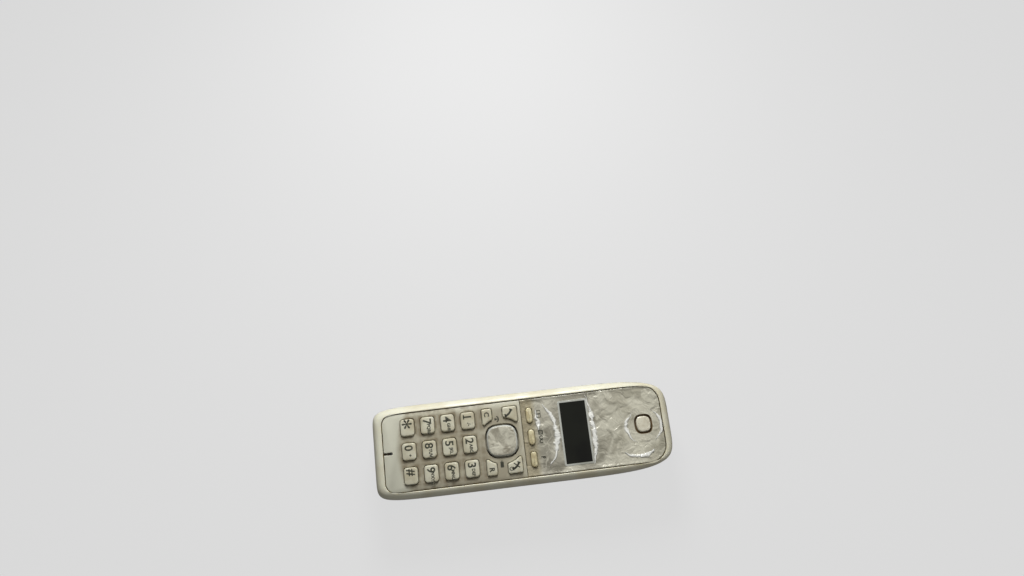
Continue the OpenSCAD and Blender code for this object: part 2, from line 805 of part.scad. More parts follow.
module case_screws() color("gray") {
    for (p = case_screw_at) difference() {
        union() {
            disc(p.x, p.y, [head_z, head_z + head_h], head_r);
            disc(p.x, p.y, [head_z + head_h - tiny, deck_z - 2], shank_r);
        }
        block([p.x - 1.5, p.x + 1.5], [p.y - 0.25, p.y + 0.25], [head_z - 1, head_z + 0.8]);
        block([p.x - 0.25, p.x + 0.25], [p.y - 1.5, p.y + 1.5], [head_z - 1, head_z + 0.8]);
    }
}

module board_screws() color("gray") {
    for (p = board_screw_at) {
        disc(p.x, p.y, [board_z - 1.2, board_z], 1.7);
        disc(p.x, p.y, [board_z - tiny, deck_z - 0.6], board_shank_r);
    }
}

// ---- Drawing ----

front_case();
rear_case();
battery_cover();
keypad_panel();
display_panel();
display_lens();
lcd_gasket();
lcd_module();
lcd_holder();
earpiece_cap();
earpiece_gasket();
earpiece_speaker();
earpiece_leads();
microphone();
microphone_boot();
for (row = [0:3], column = [0:2])
    dial_key(row, column);
function_key(clear_x0, clear_x1, 0);  // key_clear
function_key(clear_x0, clear_x1, 1);  // key_recall
function_key(talk_x0, talk_x1, 0);  // key_talk
function_key(talk_x0, talk_x1, 1);  // key_off
for (i = [0:2])
    soft_key(i);
navigator_key();
navigator_rocker();
keypad_membrane();
key_contacts();
main_board();
shield_can();
board_chips();
antenna();
ringer_speaker();
ringer_gasket();
ringer_leads();
battery_cell_1();
battery_cell_2();
battery_springs();
battery_plates();
charge_contacts();
case_screws();
board_screws();
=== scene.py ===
"""Looks of a cordless phone handset that lies on its back.

The moulded cases, the face panels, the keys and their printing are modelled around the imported
frame. The parts inside keep their frame solids and get their finishes here. Lengths are in
millimetres until a mesh is made; +X points to the earpiece, +Y to the left of the face and
+Z out of the face.
"""

from __future__ import annotations

import json
import logging
import math
from collections.abc import Callable, Sequence
from dataclasses import dataclass, field
from enum import Enum

import bmesh
import bpy
from mathutils import Matrix, Vector

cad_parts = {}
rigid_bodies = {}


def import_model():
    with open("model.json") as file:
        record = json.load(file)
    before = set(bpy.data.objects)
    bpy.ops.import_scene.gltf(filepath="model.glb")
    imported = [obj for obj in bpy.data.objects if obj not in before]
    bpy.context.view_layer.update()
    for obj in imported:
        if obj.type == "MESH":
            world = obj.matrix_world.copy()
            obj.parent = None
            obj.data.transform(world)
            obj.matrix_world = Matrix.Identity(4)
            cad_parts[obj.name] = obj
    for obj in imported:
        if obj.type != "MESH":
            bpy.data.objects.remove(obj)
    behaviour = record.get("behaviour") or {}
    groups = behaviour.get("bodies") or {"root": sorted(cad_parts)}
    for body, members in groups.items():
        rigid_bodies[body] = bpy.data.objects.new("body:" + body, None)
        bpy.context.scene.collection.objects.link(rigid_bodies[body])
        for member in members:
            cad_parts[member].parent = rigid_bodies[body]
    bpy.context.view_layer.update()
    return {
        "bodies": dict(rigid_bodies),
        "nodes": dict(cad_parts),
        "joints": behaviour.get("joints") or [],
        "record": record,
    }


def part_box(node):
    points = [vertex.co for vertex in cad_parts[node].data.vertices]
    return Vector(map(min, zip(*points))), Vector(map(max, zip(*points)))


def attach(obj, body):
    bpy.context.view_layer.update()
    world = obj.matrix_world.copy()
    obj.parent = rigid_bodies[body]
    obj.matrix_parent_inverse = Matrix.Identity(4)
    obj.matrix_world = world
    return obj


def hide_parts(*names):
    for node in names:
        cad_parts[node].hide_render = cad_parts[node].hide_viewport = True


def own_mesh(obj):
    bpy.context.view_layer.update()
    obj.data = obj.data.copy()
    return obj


log = logging.getLogger("handset")

MM = 0.001
Point = tuple[float, float]
Outline = list[Point]
Ring = list[tuple[float, float, float]]
Span = tuple[float, float]
Colour = tuple[float, float, float]
Piece = bpy.types.Object
Material = bpy.types.Material
Socket = bpy.types.NodeSocket
Sockets = dict[str, Socket]


# ---------------------------------------------------------------------------------------------
# Outlines: closed rows of points in the plane of the face, anticlockwise
# ---------------------------------------------------------------------------------------------


def superpoint(angle: float, squareness: float) -> Point:
    """A point of a superellipse that just fits in a two by two square."""
    c, s = math.cos(angle), math.sin(angle)
    power = 2.0 / squareness
    return math.copysign(abs(c) ** power, c), math.copysign(abs(s) ** power, s)


def squircle(
    centre: Point, length: float, width: float, squareness: float = 3.0, count: int = 96
) -> Outline:
    """A rounded square outline.

    Args:
        centre: its middle.
        length: its size along the body.
        width: its size across the body.
        squareness: the superellipse exponent.
        count: how many points it has.

    Returns:
        The outline's points.
    """
    points = []
    for i in range(count):
        x, y = superpoint(2 * math.pi * (i + 0.5) / count, squareness)
        points.append((centre[0] + x * length / 2, centre[1] + y * width / 2))
    return points


def rounded_corners(corners: Sequence[tuple[float, float, float]], steps: int = 8) -> Outline:
    """A polygon whose corners are arcs.

    Args:
        corners: each corner's place and its radius, anticlockwise.
        steps: how many points an arc has.

    Returns:
        The outline's points.
    """
    points: Outline = []
    count = len(corners)
    for i, (x, y, radius) in enumerate(corners):
        here = Vector((x, y))
        back = (Vector(corners[i - 1][:2]) - here).normalized()
        ahead = (Vector(corners[(i + 1) % count][:2]) - here).normalized()
        half = math.acos(max(-1.0, min(1.0, back.dot(ahead)))) / 2
        centre = here + (back + ahead).normalized() * (radius / math.sin(half))
        start = here + back * (radius / math.tan(half)) - centre
        turn = math.pi - 2 * half
        for k in range(steps + 1):
            arm = Matrix.Rotation(turn * k / steps, 2) @ start
            points.append((centre.x + arm.x, centre.y + arm.y))
    return points


def rounded_rectangle(centre: Point, length: float, width: float, radius: float, steps: int = 8) -> Outline:
    """A rectangle with round corners, about its middle."""
    x, y = length / 2, width / 2
    signs = ((1, -1), (1, 1), (-1, 1), (-1, -1))
    return rounded_corners([(centre[0] + sx * x, centre[1] + sy * y, radius) for sx, sy in signs], steps)


def inset(points: Sequence[Point], distance: float) -> Outline:
    """Draws an outline in by a distance, or out by a negative one."""
    moved = []
    count = len(points)
    for i, (x, y) in enumerate(points):
        before = Vector(points[i - 1])
        after = Vector(points[(i + 1) % count])
        along = (after - before).normalized()
        moved.append((x - along.y * distance, y + along.x * distance))
    return moved


def cast_on(
    outline: Sequence[Point], points: Sequence[Point], core: tuple[float, float, float]
) -> Outline:
    """Draws points straight in onto a convex outline that they lie outside of.

    Args:
        outline: the closed outline.
        points: the points around it.
        core: lowest and highest x and the half width of the box that they are drawn towards.

    Returns:
        Each point's place on the outline.
    """
    found = []
    count = len(outline)
    for x, y in points:
        anchor = Vector((max(core[0], min(core[1], x)), max(-core[2], min(core[2], y))))
        ray = Vector((x, y)) - anchor
        best = 0.0
        for i in range(count):
            a = Vector(outline[i]) - anchor
            run = Vector(outline[(i + 1) % count]) - anchor - a
            across = ray.x * run.y - ray.y * run.x
            if abs(across) > 1e-12:
                t = (a.x * run.y - a.y * run.x) / across
                u = (a.x * ray.y - a.y * ray.x) / across
                if -1e-6 <= u <= 1 + 1e-6 and t > best:
                    best = t
        place = anchor + ray * best
        found.append((place.x, place.y))
    return found


def within(outline: Sequence[Point], x: float, y: float) -> bool:
    """Whether a point lies inside a closed outline."""
    inside = False
    for i, (x1, y1) in enumerate(outline):
        x0, y0 = outline[i - 1]
        if (y1 > y) != (y0 > y) and x < (x0 - x1) * (y - y1) / (y0 - y1) + x1:
            inside = not inside
    return inside


def at_height(points: Sequence[Point], z: float) -> Ring:
    """Lifts an outline to a height."""
    return [(x, y, z) for x, y in points]


def stack(outline: Sequence[Point], steps: Sequence[tuple[float, float]]) -> list[Ring]:
    """Rings that follow one outline; each step is a height and how far the outline is drawn in."""
    return [at_height(inset(outline, drawn_in), z) for z, drawn_in in steps]


# ---------------------------------------------------------------------------------------------
# Modelling moves
# ---------------------------------------------------------------------------------------------


def select_only(*pieces: Piece) -> None:
    """Leaves just these pieces selected, the first one active."""
    bpy.ops.object.select_all(action="DESELECT")
    for piece in pieces:
        piece.select_set(True)
    bpy.context.view_layer.objects.active = pieces[0]


def loft(name: str, rings: Sequence[Ring]) -> Piece:
    """A closed solid through rings of the same number of points, with a face at each end.

    Args:
        name: the piece's name.
        rings: the rings in millimetres, from one end to the other.

    Returns:
        The new piece.
    """
    bpy.ops.object.select_all(action="DESELECT")
    bpy.ops.mesh.primitive_circle_add(vertices=len(rings[0]), radius=MM, fill_type="NGON")
    piece = bpy.context.object
    piece.name = piece.data.name = name
    bpy.ops.object.mode_set(mode="EDIT")
    bpy.ops.mesh.select_mode(type="FACE")
    bpy.ops.mesh.select_all(action="SELECT")
    order = {}
    for i, corner in enumerate(bmesh.from_edit_mesh(piece.data).verts):
        corner.co = Vector(rings[0][i]) * MM
        order[tuple(corner.co)] = i
    bmesh.update_edit_mesh(piece.data)
    for ring in rings[1:]:
        bpy.ops.mesh.extrude_region_move()
        new_order = {}
        for corner in bmesh.from_edit_mesh(piece.data).verts:
            if corner.select:
                index = order[tuple(corner.co)]
                corner.co = Vector(ring[index]) * MM
                new_order[tuple(corner.co)] = index
        order = new_order
        bmesh.update_edit_mesh(piece.data)
    bpy.ops.mesh.select_all(action="SELECT")
    bpy.ops.mesh.normals_make_consistent(inside=False)
    bpy.ops.object.mode_set(mode="OBJECT")
    return piece


def prism(name: str, outline: Sequence[Point], z: Span, edge: float = 0.0) -> Piece:
    """An upright solid of one outline, with its top edge rounded by edge."""
    if edge <= 0:
        return loft(name, stack(outline, [(z[0], 0.0), (z[1], 0.0)]))
    steps = [(z[0], 0.0), (z[1] - edge, 0.0), (z[1] - 0.3 * edge, 0.3 * edge), (z[1], edge)]
    return loft(name, stack(outline, steps))


def block(name: str, x: Span, y: Span, z: Span, edge: float = 0.0) -> Piece:
    """A box given by its limits, with its edges bevelled if edge is over zero."""
    bpy.ops.object.select_all(action="DESELECT")
    middle = [(a + b) / 2 * MM for a, b in (x, y, z)]
    size = [(b - a) * MM for a, b in (x, y, z)]
    bpy.ops.mesh.primitive_cube_add(size=1, location=middle, scale=size)
    piece = bpy.context.object
    piece.name = piece.data.name = name
    bpy.ops.object.transform_apply(location=True, rotation=True, scale=True)
    if edge > 0:
        bevel(piece, edge)
    return piece


def drum(
    name: str, centre: Point, radius: float, z: Span, sides: int = 48, edge: float = 0.0
) -> Piece:
    """An upright cylinder, with its rims bevelled if edge is over zero."""
    bpy.ops.object.select_all(action="DESELECT")
    place = (centre[0] * MM, centre[1] * MM, (z[0] + z[1]) / 2 * MM)
    depth = (z[1] - z[0]) * MM
    bpy.ops.mesh.primitive_cylinder_add(vertices=sides, radius=radius * MM, depth=depth, location=place)
    piece = bpy.context.object
    piece.name = piece.data.name = name
    bpy.ops.object.transform_apply(location=True, rotation=True, scale=True)
    if edge > 0:
        bevel(piece, edge)
    return piece


def tube(name: str, centre: Point, outer: float, inner: float, z: Span, sides: int = 48) -> Piece:
    """An upright ring with a round hole through it."""
    piece = drum(name, centre, outer, z, sides)
    carve(piece, [drum("bore", centre, inner, (z[0] - 1, z[1] + 1), sides)])
    return piece


def turns(count: int) -> list[float]:
    """Angles evenly round a circle."""
    return [2 * math.pi * i / count for i in range(count)]


def bevel(piece: Piece, width: float, segments: int = 3, angle: float = 40.0) -> None:
    """Rounds a piece's sharp edges and applies the modifier."""
    select_only(piece)
    bpy.ops.object.modifier_add(type="BEVEL")
    modifier = piece.modifiers[-1]
    modifier.width = width * MM
    modifier.segments = segments
    modifier.limit_method = "ANGLE"
    modifier.angle_limit = math.radians(angle)
    bpy.ops.object.modifier_apply(modifier=modifier.name)


def join(name: str, pieces: Sequence[Piece]) -> Piece:
    """Joins pieces into the first one."""
    select_only(*pieces)
    if len(pieces) > 1:
        bpy.ops.object.join()
    joined = bpy.context.object
    joined.name = joined.data.name = name
    return joined


def carve(piece: Piece, cutters: Sequence[Piece]) -> None:
    """Cuts shapes, which are used up, out of a piece."""
    cutter = join("cutter", cutters)
    select_only(piece)
    bpy.ops.object.modifier_add(type="BOOLEAN")
    modifier = piece.modifiers[-1]
    modifier.operation = "DIFFERENCE"
    modifier.solver = "EXACT"
    modifier.use_self = True
    modifier.object = cutter
    bpy.ops.object.modifier_apply(modifier=modifier.name)
    bpy.data.objects.remove(cutter)


def duplicate(piece: Piece, name: str, offset: Point = (0.0, 0.0)) -> Piece:
    """A copy of a piece with its own mesh, moved across the face."""
    select_only(piece)
    bpy.ops.object.duplicate()
    copy = bpy.context.object
    copy.name = copy.data.name = name
    copy.location = (offset[0] * MM, offset[1] * MM, 0)
    bpy.ops.object.transform_apply(location=True, rotation=True, scale=True)
    return copy


def mirrored(piece: Piece, name: str) -> Piece:
    """A copy of a piece on the other side of the middle line."""
    copy = duplicate(piece, name)
    copy.scale = (1, -1, 1)
    bpy.ops.object.transform_apply(location=True, rotation=True, scale=True)
    bpy.ops.object.mode_set(mode="EDIT")
    bpy.ops.mesh.select_all(action="SELECT")
    bpy.ops.mesh.normals_make_consistent(inside=False)
    bpy.ops.object.mode_set(mode="OBJECT")
    return copy


def smooth(piece: Piece, angle: float = 35.0) -> None:
    """Shades a piece smooth, save over edges sharper than an angle."""
    select_only(piece)
    bpy.ops.object.shade_smooth_by_angle(angle=math.radians(angle))


def dress(
    piece: Piece,
    material: Material,
    others: Sequence[tuple[Material, Callable[[Vector, Vector], bool]]] = (),
) -> None:
    """Gives a piece its finish.

    Args:
        piece: what is dressed.
        material: the finish of all of it.
        others: further finishes, each with a test of a face's middle in millimetres and its normal.
    """
    piece.data.materials.clear()
    piece.data.materials.append(material)
    for other, _ in others:
        piece.data.materials.append(other)
    for face in piece.data.polygons:
        face.material_index = 0
        for i, (_, chosen) in enumerate(others):
            if chosen(face.center / MM, face.normal):
                face.material_index = i + 1


def seat(piece: Piece, body: str, slot: str, *nodes: str) -> None:
    """Puts a finished piece on its body and names and hides the frame nodes that it stands for."""
    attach(piece, body)
    if nodes:
        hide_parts(*nodes)
    log.info("%s rides on %s for %s: %d faces", piece.name, body, ", ".join(nodes), len(piece.data.polygons))


# ---------------------------------------------------------------------------------------------
# Sizes read from the frame
# ---------------------------------------------------------------------------------------------


def span(node: str, axis: int) -> Span:
    """A node's lowest and highest place along an axis, in millimetres."""
    low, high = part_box(node)
    return low[axis] / MM, high[axis] / MM


def middle(node: str) -> Point:
    """The middle of a node seen from above, in millimetres."""
    return sum(span(node, 0)) / 2, sum(span(node, 1)) / 2


@dataclass
class Plan:
    """The handset's driving sizes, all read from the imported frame."""

    half_length: float = field(init=False)
    half_width: float = field(init=False)
    split: float = field(init=False)
    top: float = field(init=False)
    panel_x: Span = field(init=False)
    panel_y: float = field(init=False)
    panel_z: Span = field(init=False)
    seam: float = field(init=False)
    key_top: float = field(init=False)
    flange: float = field(init=False)
    cover_edge: float = field(init=False)
    cover_top: float = field(init=False)

    def __post_init__(self) -> None:
        """Reads the sizes."""
        self.half_length = span("front_case", 0)[1]
        self.half_width = span("front_case", 1)[1]
        self.split, self.top = span("front_case", 2)
        self.panel_x = (span("keypad_panel", 0)[0], span("display_panel", 0)[1])
        self.panel_y = span("keypad_panel", 1)[1]
        self.panel_z = span("keypad_panel", 2)
        self.seam = (span("keypad_panel", 0)[1] + span("display_panel", 0)[0]) / 2
        self.flange, self.key_top = span("key_5", 2)
        self.cover_edge = span("battery_cover", 0)[1]
        self.cover_top = span("battery_cover", 2)[1]

    @property
    def face(self) -> float:
        """Height of the panels' faces."""
        return self.panel_z[1]


PANEL_R_MIC = 5.0
PANEL_R_EAR = 9.0
MIC_SQUARENESS = 11.0
EAR_SQUARENESS = 5.5
WALL = 2.0
COVER_WALL = 1.6
GROOVE = 0.25


class Profile:
    """How far the outside lies inside the widest outline at each height."""

    def __init__(self, plan: Plan) -> None:
        """Sets the stations: height, then the inset at the sides, microphone end and earpiece end."""
        top, split = plan.top, plan.split
        self.plan = plan
        self.stations = [
            (0.0, 6.0, 8.0, 18.0),
            (0.8, 3.6, 5.4, 14.0),
            (2.2, 2.2, 3.6, 11.0),
            (5.0, 1.3, 2.2, 7.5),
            (9.0, 0.7, 1.1, 4.0),
            (split, 0.35, 0.35, 0.6),
            (top - 7.0, 0.0, 0.0, 0.0),
            (top - 4.0, 0.25, 0.25, 0.25),
            (top - 2.2, 0.9, 0.9, 0.9),
            (top - 1.0, 1.8, 1.8, 1.8),
            (top - 0.3, 2.8, 2.8, 2.8),
            (top, 3.6, 3.6, 3.6),
        ]
        self.ear_squareness = [
            (0.0, EAR_SQUARENESS),
            (top - 4.0, EAR_SQUARENESS),
            (top - 2.2, EAR_SQUARENESS + 0.6),
            (top - 1.0, EAR_SQUARENESS + 1.5),
            (top - 0.3, EAR_SQUARENESS + 2.3),
            (top, EAR_SQUARENESS + 2.8),
        ]

    @staticmethod
    def lookup(table: Sequence[tuple[float, ...]], z: float, column: int) -> float:
        """Reads a table between its rows, along a curve that keeps each row's value.

        Args:
            table: rows that start with a height.
            z: the height asked for.
            column: which value of the row.

        Returns:
            The value at that height.
        """
        z = max(table[0][0], min(table[-1][0], z))
        k = max(i for i in range(len(table) - 1) if table[i][0] <= z)
        z0, z1 = table[k][0], table[k + 1][0]
        v0, v1 = table[k][column], table[k + 1][column]
        run = (v1 - v0) / (z1 - z0)

        def slope(i: int) -> float:
            if i <= 0 or i >= len(table) - 1:
                return run
            before = (table[i][column] - table[i - 1][column]) / (table[i][0] - table[i - 1][0])
            after = (table[i + 1][column] - table[i][column]) / (table[i + 1][0] - table[i][0])
            return 0.0 if before * after <= 0 else 2 * before * after / (before + after)

        t = (z - z0) / (z1 - z0)
        h = z1 - z0
        a, b = slope(k) * h, slope(k + 1) * h
        ends = v0 * (2 * t**3 - 3 * t**2 + 1) + v1 * (3 * t**2 - 2 * t**3)
        return ends + a * (t**3 - 2 * t**2 + t) + b * (t**3 - t**2)

    def outline(self, z: float, drawn_in: float = 0.0, step: float = 2.0) -> Outline:
        """The body's outline at a height.

        Args:
            z: the height.
            drawn_in: how far inside the outside it lies.
            step: degrees between its points.

        Returns:
            The outline's points.
        """
        points = []
        for i in range(int(360 / step)):
            angle = math.radians(i * step)
            to_mic = math.cos(angle) < 0
            squareness = MIC_SQUARENESS if to_mic else self.lookup(self.ear_squareness, z, 1)
            x, y = superpoint(angle, squareness)
            length = self.plan.half_length - drawn_in - self.lookup(self.stations, z, 2 if to_mic else 3)
            width = self.plan.half_width - drawn_in - self.lookup(self.stations, z, 1)
            across = y * width
            hollow = self.recess(across, z) if to_mic and drawn_in == 0 else 0.0
            points.append((x * length + hollow, across))
        return points

    def recess(self, y: float, z: float) -> float:
        """Depth of the shallow recess across the middle of the microphone end."""
        half, blend, depth = 8.5, 1.2, 0.5
        low, high = 5.0, self.plan.top - 4.0

        def step_up(value: float, edge: float) -> float:
            t = max(0.0, min(1.0, (value - edge) / blend))
            return t * t * (3 - 2 * t)

        return depth * step_up(half - abs(y), 0.0) * step_up(z, low) * step_up(high - z, 0.0)


# ---------------------------------------------------------------------------------------------
# Finishes
# ---------------------------------------------------------------------------------------------


def paint(red: int, green: int, blue: int) -> Colour:
    """A colour given as on a paint card, as linear light."""
    return tuple(((shade / 255 + 0.055) / 1.055) ** 2.4 for shade in (red, green, blue))


class Blend(Enum):
    """How two inputs of a maths node are put together."""

    ADD = "ADD"
    SUBTRACT = "SUBTRACT"
    MULTIPLY = "MULTIPLY"
    DIVIDE = "DIVIDE"
    ABSOLUTE = "ABSOLUTE"
    LARGER = "MAXIMUM"
    SMALLER = "MINIMUM"
    POWER = "POWER"
    WRAP = "WRAP"
    SQUARE_ROOT = "SQRT"


Feed = Socket | float | tuple[float, ...]


class Graph:
    """Adds nodes to a tree and wires them as it goes."""

    def __init__(self, tree: bpy.types.NodeTree) -> None:
        """Starts on a tree."""
        self.tree = tree

    def feed(self, socket: Socket, value: Feed) -> None:
        """Gives a socket a value or another node's output."""
        if isinstance(value, Socket):
            self.tree.links.new(value, socket)
        elif isinstance(value, tuple) and len(value) == 3 and socket.type == "RGBA":
            socket.default_value = (*value, 1.0)
        else:
            socket.default_value = value

    def add(self, kind: str, feeds: dict[str | int, Feed], **settings: object) -> bpy.types.Node:
        """Adds a node.

        Args:
            kind: the node's type.
            feeds: values or outputs for its inputs, by name or number.
            settings: the node's own settings.

        Returns:
            The node.
        """
        node = self.tree.nodes.new(kind)
        for key, value in settings.items():
            setattr(node, key, value)
        for key, value in feeds.items():
            self.feed(node.inputs[key], value)
        return node

    def maths(self, how: Blend, a: Feed, b: Feed = 0.0, c: Feed = 0.0) -> Socket:
        """A sum of one, two or three numbers."""
        return self.add("ShaderNodeMath", {0: a, 1: b, 2: c}, operation=how.value).outputs[0]

    def length(self, a: Feed, b: Feed) -> Socket:
        """How long the slope over two sides is."""
        squares = self.maths(Blend.ADD, self.maths(Blend.MULTIPLY, a, a), self.maths(Blend.MULTIPLY, b, b))
        return self.maths(Blend.SQUARE_ROOT, squares)

    def ramp(self, value: Feed, start: float, end: float) -> Socket:
        """Nought before start and one after end, or the other way round, with a smooth change."""
        low, high, zero, one = (start, end, 0.0, 1.0) if start < end else (end, start, 1.0, 0.0)
        feeds = {"Value": value, "From Min": low, "From Max": high, "To Min": zero, "To Max": one}
        node = self.add("ShaderNodeMapRange", feeds, interpolation_type="SMOOTHSTEP")
        return node.outputs[0]

    def mix(self, mask: Feed, first: Feed, second: Feed) -> Socket:
        """Goes from one colour to another by a mask."""
        return self.add("ShaderNodeMix", {0: mask, 6: first, 7: second}, data_type="RGBA").outputs[2]

    def noise(
        self, place: Feed, scale: float, detail: float = 3.0, distortion: float = 0.0
    ) -> Socket:
        """A cloudy pattern; scale is in clouds to a metre."""
        feeds = {"Vector": place, "Scale": scale, "Detail": detail, "Distortion": distortion}
        return self.add("ShaderNodeTexNoise", feeds).outputs["Fac"]

    def place(self) -> Socket:
        """The piece's own coordinates, in metres."""
        return self.add("ShaderNodeTexCoord", {}).outputs["Object"]

    def millimetres(self, place: Feed) -> list[Socket]:
        """The piece's own coordinates as three numbers in millimetres."""
        node = self.add("ShaderNodeVectorMath", {0: place, "Scale": 1000.0}, operation="SCALE")
        return list(self.add("ShaderNodeSeparateXYZ", {0: node.outputs[0]}).outputs)


def group(
    name: str, inputs: dict[str, float], outputs: Sequence[str]
) -> tuple[bpy.types.NodeTree, Graph, dict, dict]:
    """Starts a shared effect.

    Args:
        name: the effect's name.
        inputs: its named numbers and their usual values.
        outputs: the names of what it gives.

    Returns:
        The group, its graph, its inputs' sockets by name and its outputs' sockets by name.
    """
    tree = bpy.data.node_groups.new(name, "ShaderNodeTree")
    tree.interface.new_socket("Place", in_out="INPUT", socket_type="NodeSocketVector")
    for key, value in inputs.items():
        tree.interface.new_socket(key, in_out="INPUT", socket_type="NodeSocketFloat").default_value = value
    for key in outputs:
        tree.interface.new_socket(key, in_out="OUTPUT", socket_type="NodeSocketFloat")
    graph = Graph(tree)
    given = graph.add("NodeGroupInput", {})
    result = graph.add("NodeGroupOutput", {})
    return tree, graph, {s.name: s for s in given.outputs}, {s.name: s for s in result.inputs}


class Effects:
    """The effects that the finishes share, each built once."""

    def __init__(self) -> None:
        """Builds the effects."""
        self.wear = self.build_wear()
        self.shade_and_grime_halo = self.build_shade_and_grime_halo()
        self.crease = self.build_crease()

    @staticmethod
    def build_wear() -> bpy.types.NodeTree:
        """Slow drift of tone, small specks and the fine grain of a moulding."""
        inputs = {"Cloud Scale": 60.0, "Grain Scale": 3500.0, "Speck Scale": 900.0}
        tree, graph, given, result = group("moulding_wear", inputs, ["Cloud", "Speck", "Grain"])
        cloud = graph.noise(given["Place"], given["Cloud Scale"], 5.0)
        graph.feed(result["Cloud"], graph.ramp(cloud, 0.36, 0.66))
        speck = graph.noise(given["Place"], given["Speck Scale"], 2.0)
        graph.feed(result["Speck"], graph.ramp(speck, 0.62, 0.74))
        graph.feed(result["Grain"], graph.noise(given["Place"], given["Grain Scale"], 1.0))
        return tree

    @staticmethod
    def build_shade_and_grime_halo() -> bpy.types.NodeTree:
        """Grime and painted shade round a lattice of equal boxes, such as keys."""
        inputs = {
            "Start X": 0.0,
            "Pitch X": 10.0,
            "Pitch Y": 10.0,
            "Half X": 3.5,
            "Half Y": 4.3,
            "Reach": 2.0,
        }
        tree, graph, given, result = group("shade_and_grime_round_keys", inputs, ["Mask"])
        x, y, _ = graph.millimetres(given["Place"])
        shifted = graph.maths(Blend.SUBTRACT, x, given["Start X"])
        half_x = graph.maths(Blend.DIVIDE, given["Pitch X"], 2.0)
        half_y = graph.maths(Blend.DIVIDE, given["Pitch Y"], 2.0)
        local_x = graph.maths(Blend.WRAP, shifted, half_x, graph.maths(Blend.MULTIPLY, half_x, -1.0))
        local_y = graph.maths(Blend.WRAP, y, half_y, graph.maths(Blend.MULTIPLY, half_y, -1.0))
        gaps = []
        for local, half in ((local_x, given["Half X"]), (local_y, given["Half Y"])):
            gap = graph.maths(Blend.SUBTRACT, graph.maths(Blend.ABSOLUTE, local), half)
            gaps.append(graph.maths(Blend.LARGER, gap, 0.0))
        share = graph.maths(Blend.DIVIDE, graph.length(gaps[0], gaps[1]), given["Reach"])
        graph.feed(result["Mask"], graph.ramp(share, 1.0, 0.0))
        return tree

    @staticmethod
    def build_crease() -> bpy.types.NodeTree:
        """One crease in a foil: part of a ring, thickest in its middle."""
        inputs = {"Centre X": 0.0, "Centre Y": 0.0, "Radius": 10.0}
        inputs |= {"Width": 1.0, "Middle Y": 0.0, "Half Y": 10.0}
        tree, graph, given, result = group("foil_crease", inputs, ["Mask"])
        x, y, _ = graph.millimetres(given["Place"])
        wobble = graph.maths(Blend.SUBTRACT, graph.noise(given["Place"], 170.0, 3.0), 0.5)
        dx = graph.maths(Blend.SUBTRACT, x, given["Centre X"])
        dy = graph.maths(Blend.SUBTRACT, y, given["Centre Y"])
        off = graph.maths(Blend.SUBTRACT, graph.length(dx, dy), given["Radius"])
        off = graph.maths(Blend.ADD, off, graph.maths(Blend.MULTIPLY, wobble, 3.2))
        off = graph.maths(Blend.ABSOLUTE, off)
        along = graph.maths(Blend.ABSOLUTE, graph.maths(Blend.SUBTRACT, y, given["Middle Y"]))
        along = graph.maths(Blend.DIVIDE, along, given["Half Y"])
        frayed = graph.ramp(graph.noise(given["Place"], 300.0, 2.0), 0.25, 0.62)
        frayed = graph.maths(Blend.ADD, graph.maths(Blend.MULTIPLY, frayed, 0.9), 0.35)
        swell = graph.maths(Blend.MULTIPLY, graph.ramp(along, 1.05, 0.2), frayed)
        width = graph.maths(Blend.MULTIPLY, graph.maths(Blend.MULTIPLY, given["Width"], swell), 0.5)
        width = graph.maths(Blend.LARGER, width, 0.001)
        line = graph.ramp(graph.maths(Blend.DIVIDE, off, width), 1.25, 0.35)
        graph.feed(result["Mask"], graph.maths(Blend.MULTIPLY, line, graph.ramp(along, 1.0, 0.8)))
        return tree


def use(graph: Graph, effect: bpy.types.NodeTree, place: Feed, **values: float) -> Sockets:
    """Puts a shared effect into a material.

    Args:
        graph: the material's graph.
        effect: the group.
        place: the coordinates that it reads.
        values: its inputs, with underscores for spaces.

    Returns:
        Its outputs by name.
    """
    node = graph.add("ShaderNodeGroup", {}, node_tree=effect)
    graph.feed(node.inputs["Place"], place)
    for key, value in values.items():
        graph.feed(node.inputs[key.replace("_", " ")], value)
    return {s.name: s for s in node.outputs}


